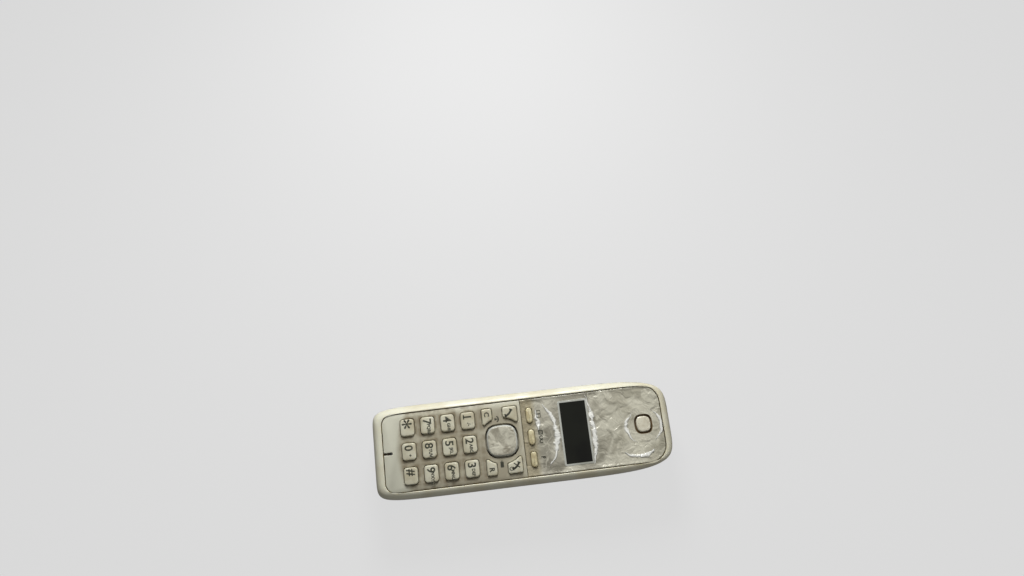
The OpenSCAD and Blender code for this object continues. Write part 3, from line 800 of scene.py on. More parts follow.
@dataclass(frozen=True)
class Finish:
    """A moulded, pressed or printed surface.

    Attributes:
        name: the material's name.
        light: its main colour.
        dark: the colour that it drifts to.
        roughness: roughness where it is clean and where it is worn.
        metallic: how metallic it is.
        coat: strength of a clear coat.
        cloud_scale: clouds of tone to a metre.
        grain_scale: grains to a metre.
        grain: height of the grain in millimetres.
        speck: how strongly specks show.
        glow: how much light passes into the surface.
        emission: light that it gives off.
    """

    name: str
    light: Colour
    dark: Colour
    roughness: tuple[float, float] = (0.35, 0.5)
    metallic: float = 0.0
    coat: float = 0.0
    cloud_scale: float = 60.0
    grain_scale: float = 3500.0
    grain: float = 0.01
    speck: float = 0.0
    glow: float = 0.0
    emission: float = 0.0

    def start(self) -> tuple[Material, Graph, bpy.types.Node]:
        """Makes the material with its constant settings."""
        material = bpy.data.materials.new(self.name)
        material.use_nodes = True
        shader = material.node_tree.nodes["Principled BSDF"]
        shader.inputs["Metallic"].default_value = self.metallic
        shader.inputs["Coat Weight"].default_value = self.coat
        shader.inputs["Coat Roughness"].default_value = 0.12
        shader.inputs["Emission Strength"].default_value = self.emission
        if self.glow > 0:
            shader.inputs["Subsurface Weight"].default_value = self.glow
            shader.inputs["Subsurface Radius"].default_value = (1.0, 0.9, 0.6)
            shader.inputs["Subsurface Scale"].default_value = 0.0006
        return material, Graph(material.node_tree), shader

    def colour(self, graph: Graph, place: Feed, wear: Sockets) -> Socket:
        """The surface's colour from its wear."""
        tone = graph.mix(wear["Cloud"], self.light, self.dark)
        speck = graph.maths(Blend.MULTIPLY, wear["Speck"], self.speck)
        return graph.mix(speck, tone, tuple(0.35 * c for c in self.dark))

    def height(self, graph: Graph, place: Feed, wear: Sockets) -> Socket:
        """The surface's relief in millimetres."""
        return graph.maths(Blend.MULTIPLY, wear["Grain"], self.grain)

    def build(self, effects: Effects) -> Material:
        """Makes the material.

        Args:
            effects: the shared effects.

        Returns:
            The finished material.
        """
        material, graph, shader = self.start()
        place = graph.place()
        wear = use(graph, effects.wear, place, Cloud_Scale=self.cloud_scale, Grain_Scale=self.grain_scale)
        colour = self.colour(graph, place, wear)
        graph.feed(shader.inputs["Base Color"], colour)
        if self.emission > 0:
            graph.feed(shader.inputs["Emission Color"], colour)
        graph.feed(shader.inputs["Roughness"], self.gloss(graph, place, wear))
        bump = graph.add("ShaderNodeBump", {"Distance": MM, "Height": self.height(graph, place, wear)})
        graph.feed(shader.inputs["Normal"], bump.outputs["Normal"])
        return material

    def gloss(self, graph: Graph, place: Feed, wear: Sockets) -> Socket:
        """The surface's roughness from its wear."""
        low, high = self.roughness
        feeds = {"Value": wear["Cloud"], "To Min": low, "To Max": high}
        return graph.add("ShaderNodeMapRange", feeds).outputs[0]


@dataclass(frozen=True)
class KeypadFinish(Finish):
    """The keypad panel: grime and painted shade round its keys and across the key area, painted light towards the
    microphone.
    """

    effects: Effects | None = None
    first_row: float = 0.0
    pitch: Point = (10.0, 12.0)
    key: Point = (7.1, 8.6)
    # Colour of the grime and painted shade across the key area.
    dirt_and_shade: Colour = paint(161, 153, 131)
    # Colour of the grime and painted shade in the gaps round the keys.
    shade_and_stain: Colour = paint(118, 104, 80)
    # Colour of the painted light on the microphone end, a painted highlight for the end of the face tilting towards the
    # light.
    painted_mic_end_light: Colour = paint(219, 219, 201)

    def colour(self, graph: Graph, place: Feed, wear: Sockets) -> Socket:
        """The panel's colour, with grime and painted shade round the keys and across the key area, and painted light at
        the microphone end.
        """
        tone = super().colour(graph, place, wear)
        x, y, _ = graph.millimetres(place)
        # Grime and painted shade round each key, strongest next to it, patchy and only in the dial key area.
        shade_and_grime_halo = use(
            graph,
            self.effects.shade_and_grime_halo,
            place,
            Start_X=self.first_row,
            Pitch_X=self.pitch[0],
            Pitch_Y=self.pitch[1],
            Half_X=self.key[0] / 2,
            Half_Y=self.key[1] / 2,
            Reach=2.6,
        )["Mask"]
        patchy = graph.ramp(graph.noise(place, 260.0, 5.0), 0.34, 0.62)
        # Grime and painted shade across the key area: it fades out only along the +Y edge, so that edge stays light and
        # the -Y side is painted darker.
        inner = graph.maths(Blend.MULTIPLY, graph.ramp(x, 1.0, -4.0), graph.ramp(x, -67.5, -62.5))
        inner = graph.maths(Blend.MULTIPLY, inner, graph.ramp(y, 18.6, 15.6))
        unevenness = graph.ramp(graph.noise(place, 120.0, 4.0), 0.28, 0.6)
        depth = graph.maths(Blend.ADD, graph.maths(Blend.MULTIPLY, unevenness, 0.35), 0.45)
        tone = graph.mix(graph.maths(Blend.MULTIPLY, inner, depth), tone, self.dirt_and_shade)
        near = graph.maths(Blend.MULTIPLY, graph.ramp(x, -15.0, -24.0), graph.ramp(x, -66.5, -61.0))
        mask = graph.maths(Blend.MULTIPLY, graph.maths(Blend.MULTIPLY, shade_and_grime_halo, patchy), near)
        tone = graph.mix(graph.maths(Blend.MULTIPLY, mask, 0.8), tone, self.shade_and_stain)
        # Painted highlight over the microphone end, beyond an arc round a point on the middle line.
        dx = graph.maths(Blend.ADD, x, 24.0)
        arc = graph.ramp(graph.length(dx, y), 38.8, 42.2)
        return graph.mix(graph.maths(Blend.MULTIPLY, arc, 0.8), tone, self.painted_mic_end_light)


@dataclass(frozen=True)
class FoilFinish(Finish):
    """A silvery foil under clear plastic, crumpled and patchy, with painted highlights on its patches, veins and
    creases.

    Attributes:
        effects: the shared effects.
        creases: each crease's centre, radius, width and the middle and half of its stretch in y.
        bright: the colour of the painted highlights on the patches and veins.
        patch_scale: patches to a metre.
        patches: how strongly the painted highlights of the patches and veins show.
        ripple: height of the crumpling in millimetres.
        tanned: where along the piece its tanned end fades out, if it has one.
        lit: where along the piece the painted light that pales it begins and where it is palest, if it has any.
    """

    effects: Effects | None = None
    creases: tuple[tuple[float, float, float, float, float, float], ...] = ()
    bright: Colour = paint(243, 240, 220)
    patch_scale: float = 120.0
    patches: float = 0.6
    ripple: float = 0.9
    tanned: Span | None = None
    lit: Span | None = None

    def folds(self, graph: Graph, place: Feed) -> Socket:
        """All of the creases in one mask."""
        total = graph.maths(Blend.MULTIPLY, graph.noise(place, 10.0), 0.0)
        for cx, cy, radius, width, mid, half in self.creases:
            values = dict(Centre_X=cx, Centre_Y=cy, Radius=radius, Width=width, Middle_Y=mid, Half_Y=half)
            mask = use(graph, self.effects.crease, place, **values)["Mask"]
            total = graph.maths(Blend.LARGER, total, mask)
        return total

    def colour(self, graph: Graph, place: Feed, wear: Sockets) -> Socket:
        """The foil's colour, with painted highlights on its bright patches, veins and creases."""
        tone = super().colour(graph, place, wear)
        # Painted highlights: bright patches and veins mixed into the colour.
        patch = graph.ramp(graph.noise(place, self.patch_scale, 2.0, 0.6), 0.42, 0.6)
        veins = graph.add(
            "ShaderNodeTexVoronoi",
            {"Vector": self.stirred(graph, place), "Scale": self.patch_scale * 1.3},
            feature="DISTANCE_TO_EDGE",
        ).outputs["Distance"]
        some = graph.ramp(graph.noise(place, 90.0), 0.45, 0.6)
        vein = graph.maths(Blend.MULTIPLY, graph.ramp(veins, 0.09, 0.0), some)
        mask = graph.maths(Blend.MULTIPLY, graph.maths(Blend.LARGER, patch, vein), self.patches)
        x = graph.millimetres(place)[0]
        # Painted light that pales the foil towards the earpiece end.
        if self.lit:
            pale = graph.maths(Blend.MULTIPLY, graph.ramp(x, *self.lit), 0.3)
            tone = graph.mix(pale, tone, paint(218, 214, 188))
        tone = graph.mix(mask, tone, self.bright)
        if self.tanned:
            tan = graph.maths(Blend.MULTIPLY, graph.ramp(x, *self.tanned), 0.75)
            tone = graph.mix(tan, tone, paint(166, 155, 124))
        # Painted highlight along the creases, near white; their relief is in the bump as well.
        return graph.mix(self.folds(graph, place), tone, paint(255, 255, 248))

    @staticmethod
    def stirred(graph: Graph, place: Feed) -> Socket:
        """Coordinates that wander, so that straight edges turn into folds."""
        feeds = {"Vector": place, "Scale": 130.0, "Detail": 2.0}
        wander = graph.add("ShaderNodeTexNoise", feeds).outputs["Color"]
        scaled = graph.add("ShaderNodeVectorMath", {0: wander, "Scale": 0.012}, operation="SCALE").outputs[0]
        return graph.add("ShaderNodeVectorMath", {0: place, 1: scaled}, operation="ADD").outputs[0]

    def height(self, graph: Graph, place: Feed, wear: Sockets) -> Socket:
        """The crumpling and the folds on top of the grain."""
        ripple = graph.maths(Blend.MULTIPLY, graph.noise(place, 210.0, 2.0, 0.8), self.ripple)
        folds = graph.maths(Blend.MULTIPLY, self.folds(graph, place), 0.45)
        ripple = graph.maths(Blend.ADD, ripple, folds)
        return graph.maths(Blend.ADD, super().height(graph, place, wear), ripple)


class Palette:
    """Every finish of the handset."""

    def __init__(self, plan: Plan, effects: Effects) -> None:
        """Makes the materials."""
        rows = [middle(name)[0] for name in ("key_0", "key_8")]
        columns = [middle(name)[1] for name in ("key_2", "key_1")]
        self.shell = Finish(
            "ivory_shell", paint(234, 232, 211), paint(221, 215, 189), (0.3, 0.46), speck=0.12, glow=0.08
        ).build(effects)
        self.keys = Finish(
            "ivory_keys", paint(217, 214, 192), paint(194, 187, 160), (0.3, 0.5), cloud_scale=110.0, speck=0.2, glow=0.08
        ).build(effects)
        self.soft_keys = Finish(
            "tanned_keys", paint(226, 217, 180), paint(196, 183, 142), (0.3, 0.5), cloud_scale=420.0, speck=0.3, glow=0.08
        ).build(effects)
        # Grime and painted shade for the walls of the groove round the panels.
        self.groove = Finish(
            "groove_grime_and_shade", paint(124, 108, 68), paint(88, 76, 46), (0.7, 0.9), cloud_scale=240.0, grain=0.03
        ).build(effects)
        self.keypad = KeypadFinish(
            "keypad_face",
            paint(207, 204, 184),
            paint(190, 185, 163),
            (0.38, 0.55),
            cloud_scale=130.0,
            grain=0.012,
            speck=0.3,
            effects=effects,
            first_row=rows[0],
            pitch=(rows[1] - rows[0], columns[1] - columns[0]),
        ).build(effects)
        # The display foil: painted highlights on patches, veins and creases, and painted light towards the earpiece.
        self.foil = FoilFinish(
            "display_foil",
            paint(182, 178, 162),
            paint(138, 134, 119),
            (0.22, 0.36),
            metallic=0.08,
            coat=0.4,
            cloud_scale=90.0,
            grain=0.004,
            speck=0.15,
            patch_scale=75.0,
            patches=0.5,
            ripple=1.0,
            tanned=(9.0, 5.5),
            lit=(28.0, 60.0),
            effects=effects,
            creases=(
                (-11.5, 0.0, 29.0, 2.9, 0.5, 17.5),
                (-60.0, 8.0, 68.5, 1.6, 8.5, 6.5),
                (-50.0, 0.0, 87.0, 2.6, 0.0, 21.0),
                (63.0, -1.0, 9.2, 1.8, -1.0, 8.5),
                (59.0, -6.0, 10.2, 1.9, -16.2, 3.6),
            ),
        ).build(effects)
        # The navigator foil: painted highlights on its patches and veins.
        self.navigator = FoilFinish(
            "navigator_foil",
            paint(190, 186, 168),
            paint(156, 150, 132),
            (0.25, 0.42),
            metallic=0.12,
            coat=0.3,
            cloud_scale=200.0,
            grain=0.006,
            speck=0.35,
            effects=effects,
            patch_scale=230.0,
            patches=0.5,
            ripple=0.8,
        ).build(effects)
        self.glass = Finish(
            "display_glass", paint(24, 26, 20), paint(14, 15, 12), (0.06, 0.12), coat=0.6, grain=0.0, speck=0.0
        ).build(effects)
        self.ink = Finish("legend_ink", paint(74, 75, 62), paint(58, 58, 46), (0.5, 0.6), cloud_scale=500.0).build(effects)
        self.frame = Finish("window_frame", paint(196, 198, 190), paint(168, 169, 158), (0.3, 0.4)).build(effects)
        # Painted shade for the walls of the microphone slot.
        self.dark = Finish("painted_slot_shade", paint(74, 62, 44), paint(48, 42, 30), (0.6, 0.8), grain=0.02).build(effects)
        # Brown painted shade for the slot round the earpiece cap and the cap's flange.
        self.tan = Finish("brown_slot_shade", paint(118, 96, 62), paint(84, 68, 44), (0.6, 0.8), grain=0.02).build(effects)
        self.rocker = Finish("rocker_moulding", paint(60, 60, 58), paint(44, 44, 42), (0.4, 0.5)).build(effects)
        self.white = Finish("white_moulding", paint(226, 226, 220), paint(206, 205, 196), (0.4, 0.5)).build(effects)
        self.silicone = Finish(
            "silicone_sheet", paint(186, 188, 184), paint(168, 170, 165), (0.55, 0.7), glow=0.2, grain=0.015
        ).build(effects)
        self.foam = Finish(
            "black_foam", paint(44, 43, 42), paint(26, 26, 25), (0.85, 0.95), grain_scale=2200.0, grain=0.09
        ).build(effects)
        self.lcd = Finish("lcd_cell", paint(92, 98, 84), paint(78, 84, 70), (0.1, 0.2), coat=0.5).build(effects)
        self.steel = Finish(
            "bright_steel", paint(196, 196, 194), paint(168, 167, 164), (0.22, 0.36), metallic=1.0, speck=0.1, grain=0.004
        ).build(effects)
        self.gold = Finish(
            "gold_plating", paint(214, 178, 96), paint(190, 150, 74), (0.2, 0.34), metallic=1.0, grain=0.004
        ).build(effects)
        self.wire = Finish("red_wire_sleeve", paint(158, 34, 28), paint(128, 24, 20), (0.35, 0.45)).build(effects)
        self.board = Finish(
            "green_board", paint(34, 92, 58), paint(24, 70, 44), (0.3, 0.42), coat=0.3, cloud_scale=400.0, speck=0.3
        ).build(effects)
        self.chips = Finish("chip_resin", paint(38, 38, 40), paint(28, 28, 30), (0.5, 0.65), grain=0.02).build(effects)
        self.cell = Finish(
            "cell_sleeve", paint(58, 118, 84), paint(48, 104, 72), (0.25, 0.35), coat=0.3, cloud_scale=90.0
        ).build(effects)
        # The cap foil: faint painted highlights on its patches and veins.
        self.cap = FoilFinish(
            "cap_foil",
            paint(236, 231, 210),
            paint(214, 207, 184),
            (0.25, 0.4),
            metallic=0.05,
            coat=0.3,
            cloud_scale=200.0,
            grain=0.006,
            speck=0.2,
            effects=effects,
            patch_scale=300.0,
            patches=0.3,
            ripple=0.08,
        ).build(effects)
        self.floor = self.studio_floor()

    @staticmethod
    def studio_floor() -> Material:
        """A pale floor that hardly takes a shadow and throws little light back at the piece."""
        material = bpy.data.materials.new("studio_floor")
        material.use_nodes = True
        graph = Graph(material.node_tree)
        shader = material.node_tree.nodes["Principled BSDF"]
        cloud = graph.noise(graph.place(), 2.0)
        graph.feed(shader.inputs["Base Color"], graph.mix(cloud, paint(84, 84, 84), paint(86, 86, 86)))
        shader.inputs["Roughness"].default_value = 1.0
        shader.inputs["Specular IOR Level"].default_value = 0.0
        shader.inputs["Emission Color"].default_value = (1.0, 1.0, 1.0, 1.0)
        seen = graph.add("ShaderNodeLightPath", {}).outputs["Is Camera Ray"]
        glow = graph.add("ShaderNodeMapRange", {"Value": seen, "To Min": 0.12, "To Max": 0.66}).outputs[0]
        graph.feed(shader.inputs["Emission Strength"], glow)
        return material

    def carried(self) -> dict[str, Material]:
        """The finish of every frame node that keeps its solid, by node name."""
        return {
            "lcd_gasket": self.foam,
            "lcd_module": self.lcd,
            "lcd_holder": self.white,
            "earpiece_gasket": self.foam,
            "earpiece_speaker": self.steel,
            "earpiece_leads": self.wire,
            "microphone": self.steel,
            "microphone_boot": self.foam,
            "navigator_rocker": self.rocker,
            "key_contacts": self.gold,
            "main_board": self.board,
            "shield_can": self.steel,
            "board_chips": self.chips,
            "antenna": self.gold,
            "ringer_speaker": self.steel,
            "ringer_gasket": self.foam,
            "ringer_leads": self.wire,
            "battery_springs": self.steel,
            "battery_plates": self.steel,
            "charge_contacts": self.gold,
            "case_screws": self.steel,
            "board_screws": self.steel,
        }


# ---------------------------------------------------------------------------------------------
# Printing
# ---------------------------------------------------------------------------------------------

INK_DEPTH = 0.06
INK_PROUD = 0.02


class Printer:
    """Prints letters and small signs as thin raised ink."""

    @staticmethod
    def word(text: str, at: Point, size: float, surface: float) -> Piece:
        """Letters whose tops point to the earpiece.

        Args:
            text: what is printed.
            at: the middle of the word.
            size: the height of a capital letter.
            surface: the height of the surface under the ink.

        Returns:
            The ink.
        """
        bpy.ops.object.select_all(action="DESELECT")
        bpy.ops.object.text_add()
        ink = bpy.context.object
        ink.data.body = text
        ink.data.size = size / 0.72 * MM
        ink.data.align_x = "CENTER"
        ink.data.align_y = "CENTER"
        ink.data.extrude = INK_DEPTH / 2 * MM
        ink.data.resolution_u = 4
        ink.data.offset = 0.00013 if size > 2 else 0.00009
        bpy.ops.object.convert(target="MESH")
        ink = bpy.context.object
        ink.rotation_euler = (0, 0, -math.pi / 2)
        bpy.ops.object.transform_apply(location=True, rotation=True, scale=True)
        corners = [Vector(corner) for corner in ink.bound_box]
        centre = sum(corners, Vector()) / len(corners)
        ink.location = Vector((at[0], at[1], surface + INK_PROUD - INK_DEPTH / 2)) * MM - centre
        bpy.ops.object.transform_apply(location=True, rotation=True, scale=True)
        bpy.ops.object.mode_set(mode="EDIT")
        bpy.ops.mesh.select_all(action="SELECT")
        bpy.ops.mesh.remove_doubles(threshold=1e-6)
        bpy.ops.mesh.normals_make_consistent(inside=False)
        bpy.ops.object.mode_set(mode="OBJECT")
        return ink

    @staticmethod
    def stroke(path: Sequence[Point], width: float, surface: float, closed: bool = False) -> Piece:
        """A line of ink of one width.

        Args:
            path: the line's middle.
            width: its width.
            surface: the height of the surface under the ink.
            closed: whether its ends meet.

        Returns:
            The ink.
        """
        z = (surface + INK_PROUD - INK_DEPTH, surface + INK_PROUD)
        left, right = [], []
        count = len(path)
        for i, point in enumerate(path):
            before = path[i - 1] if i > 0 or closed else path[0]
            after = path[(i + 1) % count] if i < count - 1 or closed else path[-1]
            along = (Vector(after) - Vector(before)).normalized()
            aside = Vector((-along.y, along.x)) * width / 2
            left.append((point[0] + aside.x, point[1] + aside.y))
            right.append((point[0] - aside.x, point[1] - aside.y))
        if not closed:
            return prism("ink", right + left[::-1], z)
        outer, inner = (right, left) if area(right) > area(left) else (left, right)
        ink = prism("ink", outer if area(outer) > 0 else outer[::-1], z)
        carve(ink, [prism("middle", inner, (z[0] - 0.1, z[1] + 0.1))])
        return ink


def area(outline: Sequence[Point]) -> float:
    """An outline's area, over nought if it runs anticlockwise."""
    pairs = zip(outline, list(outline[1:]) + [outline[0]])
    return sum(a[0] * b[1] - b[0] * a[1] for a, b in pairs) / 2


def arc(centre: Point, radius: float, start: float, end: float, steps: int = 12) -> Outline:
    """Points along part of a circle, between two angles in degrees."""
    angles = [math.radians(start + (end - start) * i / steps) for i in range(steps + 1)]
    return [(centre[0] + radius * math.cos(a), centre[1] + radius * math.sin(a)) for a in angles]


def printed(piece: Piece, inks: Sequence[Piece], ink: Material) -> Piece:
    """Joins ink onto a dressed piece."""
    for mark in inks:
        dress(mark, ink)
    return join(piece.name, [piece, *inks])


# ---------------------------------------------------------------------------------------------
# Face panels
# ---------------------------------------------------------------------------------------------

KEY_GAP = 0.3
CHAMFER = 0.22


def panel_outline(x: Span, half: float, radii: Point, drawn_in: float = 0.0, ends: Point = (1.0, 1.0)) -> Outline:
    """A panel's outline.

    Args:
        x: its ends.
        half: half of its width.
        radii: its corner radii at the two ends.
        drawn_in: how far inside it the outline lies.
        ends: how much of that each end takes.

    Returns:
        The outline's points.
    """
    left, right, y = x[0] + drawn_in * ends[0], x[1] - drawn_in * ends[1], half - drawn_in
    near, far = (max(r - drawn_in, 0.25) for r in radii)
    return rounded_corners([(left, -y, near), (right, -y, far), (right, y, far), (left, y, near)], 14)


def hole(outline: Sequence[Point], face: float, depth: float = 4.0, flare: float = CHAMFER) -> Piece:
    """A cutter for a hole through a panel, with a small chamfer at the face."""
    steps = [(face - depth, 0.0), (face - flare, 0.0), (face + 0.6, -flare - 0.6)]
    return loft("hole", stack(outline, steps))


@dataclass
class FunctionKeys:
    """The four keys beside the navigator and their common shape.

    Attributes:
        plan: the driving sizes.
        corner: radius of a key's corners.
        band: radius of the clear band around the navigator.
    """

    plan: Plan
    corner: float = 0.9
    band: float = 11.8

    def outline(self, name: str) -> Outline:
        """The outline of a key of the +Y side, with its bite.

        Args:
            name: the frame node.

        Returns:
            The outline's points.
        """
        lip = 0.8
        low, high = span(name, 0)
        x0, x1 = low + lip, high - lip
        top = span(name, 1)[1] - lip
        nav = middle("navigator_key")[0]

        def bite(x: float) -> float:
            return math.sqrt(self.band**2 - (x - nav) ** 2)

        count = 9
        corners = [(x0, top, self.corner), (x0, bite(x0), self.corner)]
        first, last = x0 + 1.7, x1 - 1.7
        samples = [first + (last - first) * i / (count - 1) for i in range(count)]
        tail = [(x1, bite(x1), self.corner), (x1, top, self.corner)]
        rounded = rounded_corners(corners + [(x, bite(x), 0.0) for x in samples] + tail, 6)
        merged: Outline = []
        for point in rounded:
            if not merged or math.dist(point, merged[-1]) > 1e-5:
                merged.append(point)
        return merged

    def build(self, palette: Palette) -> None:
        """Makes the four keys with their signs."""
        for name, twin in (("key_clear", "key_recall"), ("key_talk", "key_off")):
            key = key_body(name + "_top", self.outline(name), self.plan.flange, self.plan.key_top)
            other = mirrored(key, twin + "_top")
            for node, piece, marks in ((name, key, self.signs(name)), (twin, other, self.signs(twin))):
                dress(piece, palette.keys)
                smooth(piece)
                piece = printed(piece, marks, palette.ink)
                piece.name = piece.data.name = node + "_top"
                seat(piece, node, "keys", node)

    def signs(self, name: str) -> list[Piece]:
        """The printing on one of the keys."""
        top = self.plan.key_top
        x, y = middle(name)
        side = 1 if y > 0 else -1
        if name == "key_clear":
            return [Printer.word("C", (x, y + 1.2), 2.5, top)]
        if name == "key_recall":
            return [Printer.word("R", (x, y - 1.2), 2.5, top)]
        centre = Vector((x - 0.5, y + 0.9)) if side > 0 else Vector((x + 0.6, y - 0.2))
        bow = [centre + Vector(p) for p in ((-2.1, -1.5), (-0.9, -1.3), (0.3, -0.4), (1.1, 0.7), (1.5, 1.7))]
        marks = [Printer.stroke([tuple(p) for p in bow], 1.0, top)]
        for end, inner in ((bow[0], bow[1]), (bow[-1], bow[-2])):
            marks.append(Printer.stroke([tuple(end), tuple(end.lerp(inner, 0.6))], 1.7, top))
        if name == "key_off":
            power = (x - 2.1, y - 1.6)
            ring = [(power[0] + 0.85 * math.cos(a), power[1] + 0.85 * math.sin(a)) for a in turns(20)]
            marks.append(Printer.stroke(ring, 0.36, top, closed=True))
            marks.append(Printer.stroke([(power[0] + 0.1, power[1]), (power[0] + 1.1, power[1])], 0.36, top))
            slash = [tuple(centre + Vector(p)) for p in ((-1.3, 1.3), (1.6, -1.2))]
            marks.append(Printer.stroke(slash, 0.55, top))
        return marks


def key_body(name: str, outline: Sequence[Point], flange: float, top: float) -> Piece:
    """A key: a flange under the panel and a button with a soft rounded edge.

    Args:
        name: the piece's name.
        outline: the button's outline.
        flange: the height of the flange's underside.
        top: the height of the button's top.

    Returns:
        The key.
    """
    steps = [
        (flange, -0.8),
        (flange + 0.9, -0.8),
        (flange + 0.9, 0.0),
        (top - 0.85, 0.0),
        (top - 0.55, 0.05),
        (top - 0.32, 0.15),
        (top - 0.16, 0.31),
        (top - 0.06, 0.52),
        (top, 0.85),
    ]
    return loft(name, stack(outline, steps))


@dataclass
class DialPad:
    """The twelve dial keys, one shape with their own printing.

    Attributes:
        plan: the driving sizes.
        letters: the small letters beside each digit.
    """

    plan: Plan
    letters: dict[str, str] = field(
        default_factory=lambda: {
            "2": "ABC",
            "3": "DEF",
            "4": "GHI",
            "5": "JKL",
            "6": "MNO",
            "7": "PQRS",
            "8": "TUV",
            "9": "WXYZ",
            "0": "+",
            "1": "./-",
        }
    )

    def build(self, palette: Palette) -> None:
        """Makes the dial keys."""
        home = middle("key_5")
        size = [span("key_5", axis)[1] - span("key_5", axis)[0] - 1.6 for axis in (0, 1)]
        outline = rounded_rectangle(home, size[0], size[1], 1.6, 8)
        pattern = key_body("dial_key", outline, self.plan.flange, self.plan.key_top)
        smooth(pattern)
        for sign in "1234567890*#":
            node = {"*": "key_star", "#": "key_hash"}.get(sign, "key_" + sign)
            place = middle(node)
            key = duplicate(pattern, node + "_top", (place[0] - home[0], place[1] - home[1]))
            dress(key, palette.keys)
            size = 8.0 if sign == "*" else 4.2
            marks = [Printer.word(sign, (place[0], place[1] + 1.8), size, self.plan.key_top)]
            if sign in self.letters:
                marks.append(Printer.word(self.letters[sign], (place[0] + 0.6, place[1] - 1.9), 1.6, self.plan.key_top))
            if sign == "1":
                foot = [(place[0] - 1.9, place[1] + 0.7), (place[0] - 1.9, place[1] + 2.9)]
                marks.append(Printer.stroke(foot, 0.6, self.plan.key_top))
            key = printed(key, marks, palette.ink)
            seat(key, node, "keys", node)
        bpy.data.objects.remove(pattern)


@dataclass
class Navigator:
    """The round-cornered navigator key.

    Attributes:
        plan: the driving sizes.
        size: its size across the flats.
        gap: the gap around it.
        flange: its flange's radius and heights.
    """

    plan: Plan
    size: float = 15.7
    gap: float = 0.75
    flange: tuple[float, float, float] = (9.0, 23.1, 23.9)

    def outline(self, grow: float = 0.0) -> Outline:
        """Its outline, or a larger one."""
        return squircle(middle("navigator_key"), self.size + 2 * grow, self.size + 2 * grow)

    def build(self, palette: Palette) -> None:
        """Makes the key."""
        radius, low, high = self.flange
        foot = squircle(middle("navigator_key"), 2 * radius, 2 * radius, 2.0)
        top = self.plan.key_top
        steps = [(high, 0.0), (top - 1.0, 0.0), (top - 0.62, 0.1), (top - 0.3, 0.34), (top - 0.1, 0.72), (top, 1.3)]
        rings = [at_height(foot, low), at_height(foot, high), *stack(self.outline(), steps)]
        for share, depth in ((0.72, 0.05), (0.5, 0.16), (0.28, 0.26), (0.1, 0.3)):
            rings.append(at_height(self.outline((share - 1) * self.size / 2), top - depth))
        key = loft("navigator_cap", rings)
        # The rounded top edge takes the lighter window-frame colour, a painted highlight round the rim.
        dress(key, palette.navigator, [(palette.frame, lambda c, n: c.z > top - 1.0 and 0.2 < n.z < 0.93)])
        smooth(key, 40)
        seat(key, "navigator_key", "navigator", "navigator_key")


@dataclass
class SoftKeys:
    """The three pill-shaped keys under the display."""

    plan: Plan
    names: tuple[str, str, str] = ("soft_key_left", "soft_key_middle", "soft_key_right")

    @staticmethod
    def outline(name: str, grow: float = 0.0) -> Outline:
        """A key's outline, or a larger one."""
        length = span(name, 0)[1] - span(name, 0)[0] - 1.6 + 2 * grow
        width = span(name, 1)[1] - span(name, 1)[0] - 1.6 + 2 * grow
        return rounded_rectangle(middle(name), length, width, length / 2 - 0.02, 10)

    def build(self, palette: Palette) -> None:
        """Makes the keys."""
        for name in self.names:
            flange, top = span(name, 2)
            key = key_body(name + "_top", self.outline(name), flange, top)
            dress(key, palette.soft_keys)
            smooth(key)
            seat(key, name, "keys", name)


@dataclass
class KeypadPanel:
    """The panel that the keys stand in.

    Attributes:
        plan: the driving sizes.
        navigator: the navigator, for its hole.
        functions: the keys beside it, for their holes.
    """

    plan: Plan
    navigator: Navigator
    functions: FunctionKeys

    def holes(self) -> list[Piece]:
        """The cutters of everything that shows through."""
        face = self.plan.face
        size = [span("key_5", axis)[1] - span("key_5", axis)[0] - 1.6 + 2 * KEY_GAP for axis in (0, 1)]
        cutters = []
        for sign in ("star", "0", "hash", *"123456789"):
            cutters.append(hole(rounded_rectangle(middle("key_" + sign), size[0], size[1], 1.9), face))
        for name in ("key_clear", "key_talk"):
            outline = inset(self.functions.outline(name), -KEY_GAP)
            cutters.append(hole(outline, face))
            cutters.append(hole([(x, -y) for x, y in reversed(outline)], face))
        cutters.append(hole(self.navigator.outline(self.navigator.gap), face, flare=0.3))
        mic = middle("microphone")[0]
        slot = rounded_rectangle(((self.plan.panel_x[0] + mic) / 2 - 1, 0), mic - self.plan.panel_x[0] + 2, 1.1, 0.5)
        cutters.append(hole(slot, face, 0.8, 0.3))
        cutters.append(drum("mic_hole", (mic - 0.8, 0.0), 0.8, (face - 3, face), 24))
        return cutters

    def signs(self) -> list[Piece]:
        """The small signs printed beside the navigator."""
        nav = middle("navigator_key")[0]
        face = self.plan.face
        left = nav - 1.3
        book = rounded_rectangle((left, -11.9), 1.7, 2.9, 0.25, 3)
        marks = [prism("ink", book, (face - 0.04, face + 0.02))]
        marks.append(Printer.stroke([(left, -10.3), (left, -9.9)], 0.9, face))
        marks.append(Printer.stroke(arc((left - 0.9, 11.2), 1.5, -70, 70), 0.6, face))
        marks.append(Printer.stroke([(left - 1.1, 10.6), (left - 1.1, 11.8)], 0.7, face))
        marks.append(Printer.stroke([(left - 0.9, 11.2), (left + 0.3, 11.2)], 0.5, face))
        return marks

    def build(self, palette: Palette) -> None:
        """Makes the panel."""
        plan = self.plan
        x = (plan.panel_x[0], span("keypad_panel", 0)[1])
        steps = [(plan.panel_z[0], 0.0), (plan.face - 0.28, 0.0), (plan.face - 0.1, 0.08), (plan.face, 0.3)]
        rings = [at_height(panel_outline(x, plan.panel_y, (PANEL_R_MIC, 0.3), d), z) for z, d in steps]
        panel = loft("keypad_plate", rings)
        carve(panel, self.holes())
        # The microphone slot's walls take painted shade.
        dress(panel, palette.keypad, [(palette.dark, lambda c, n: abs(c.y) < 1.2 and c.x < -66 and c.z < plan.face - 0.2)])
        smooth(panel)
        panel = printed(panel, self.signs(), palette.ink)
        seat(panel, "handset", "keypad_face", "keypad_panel")


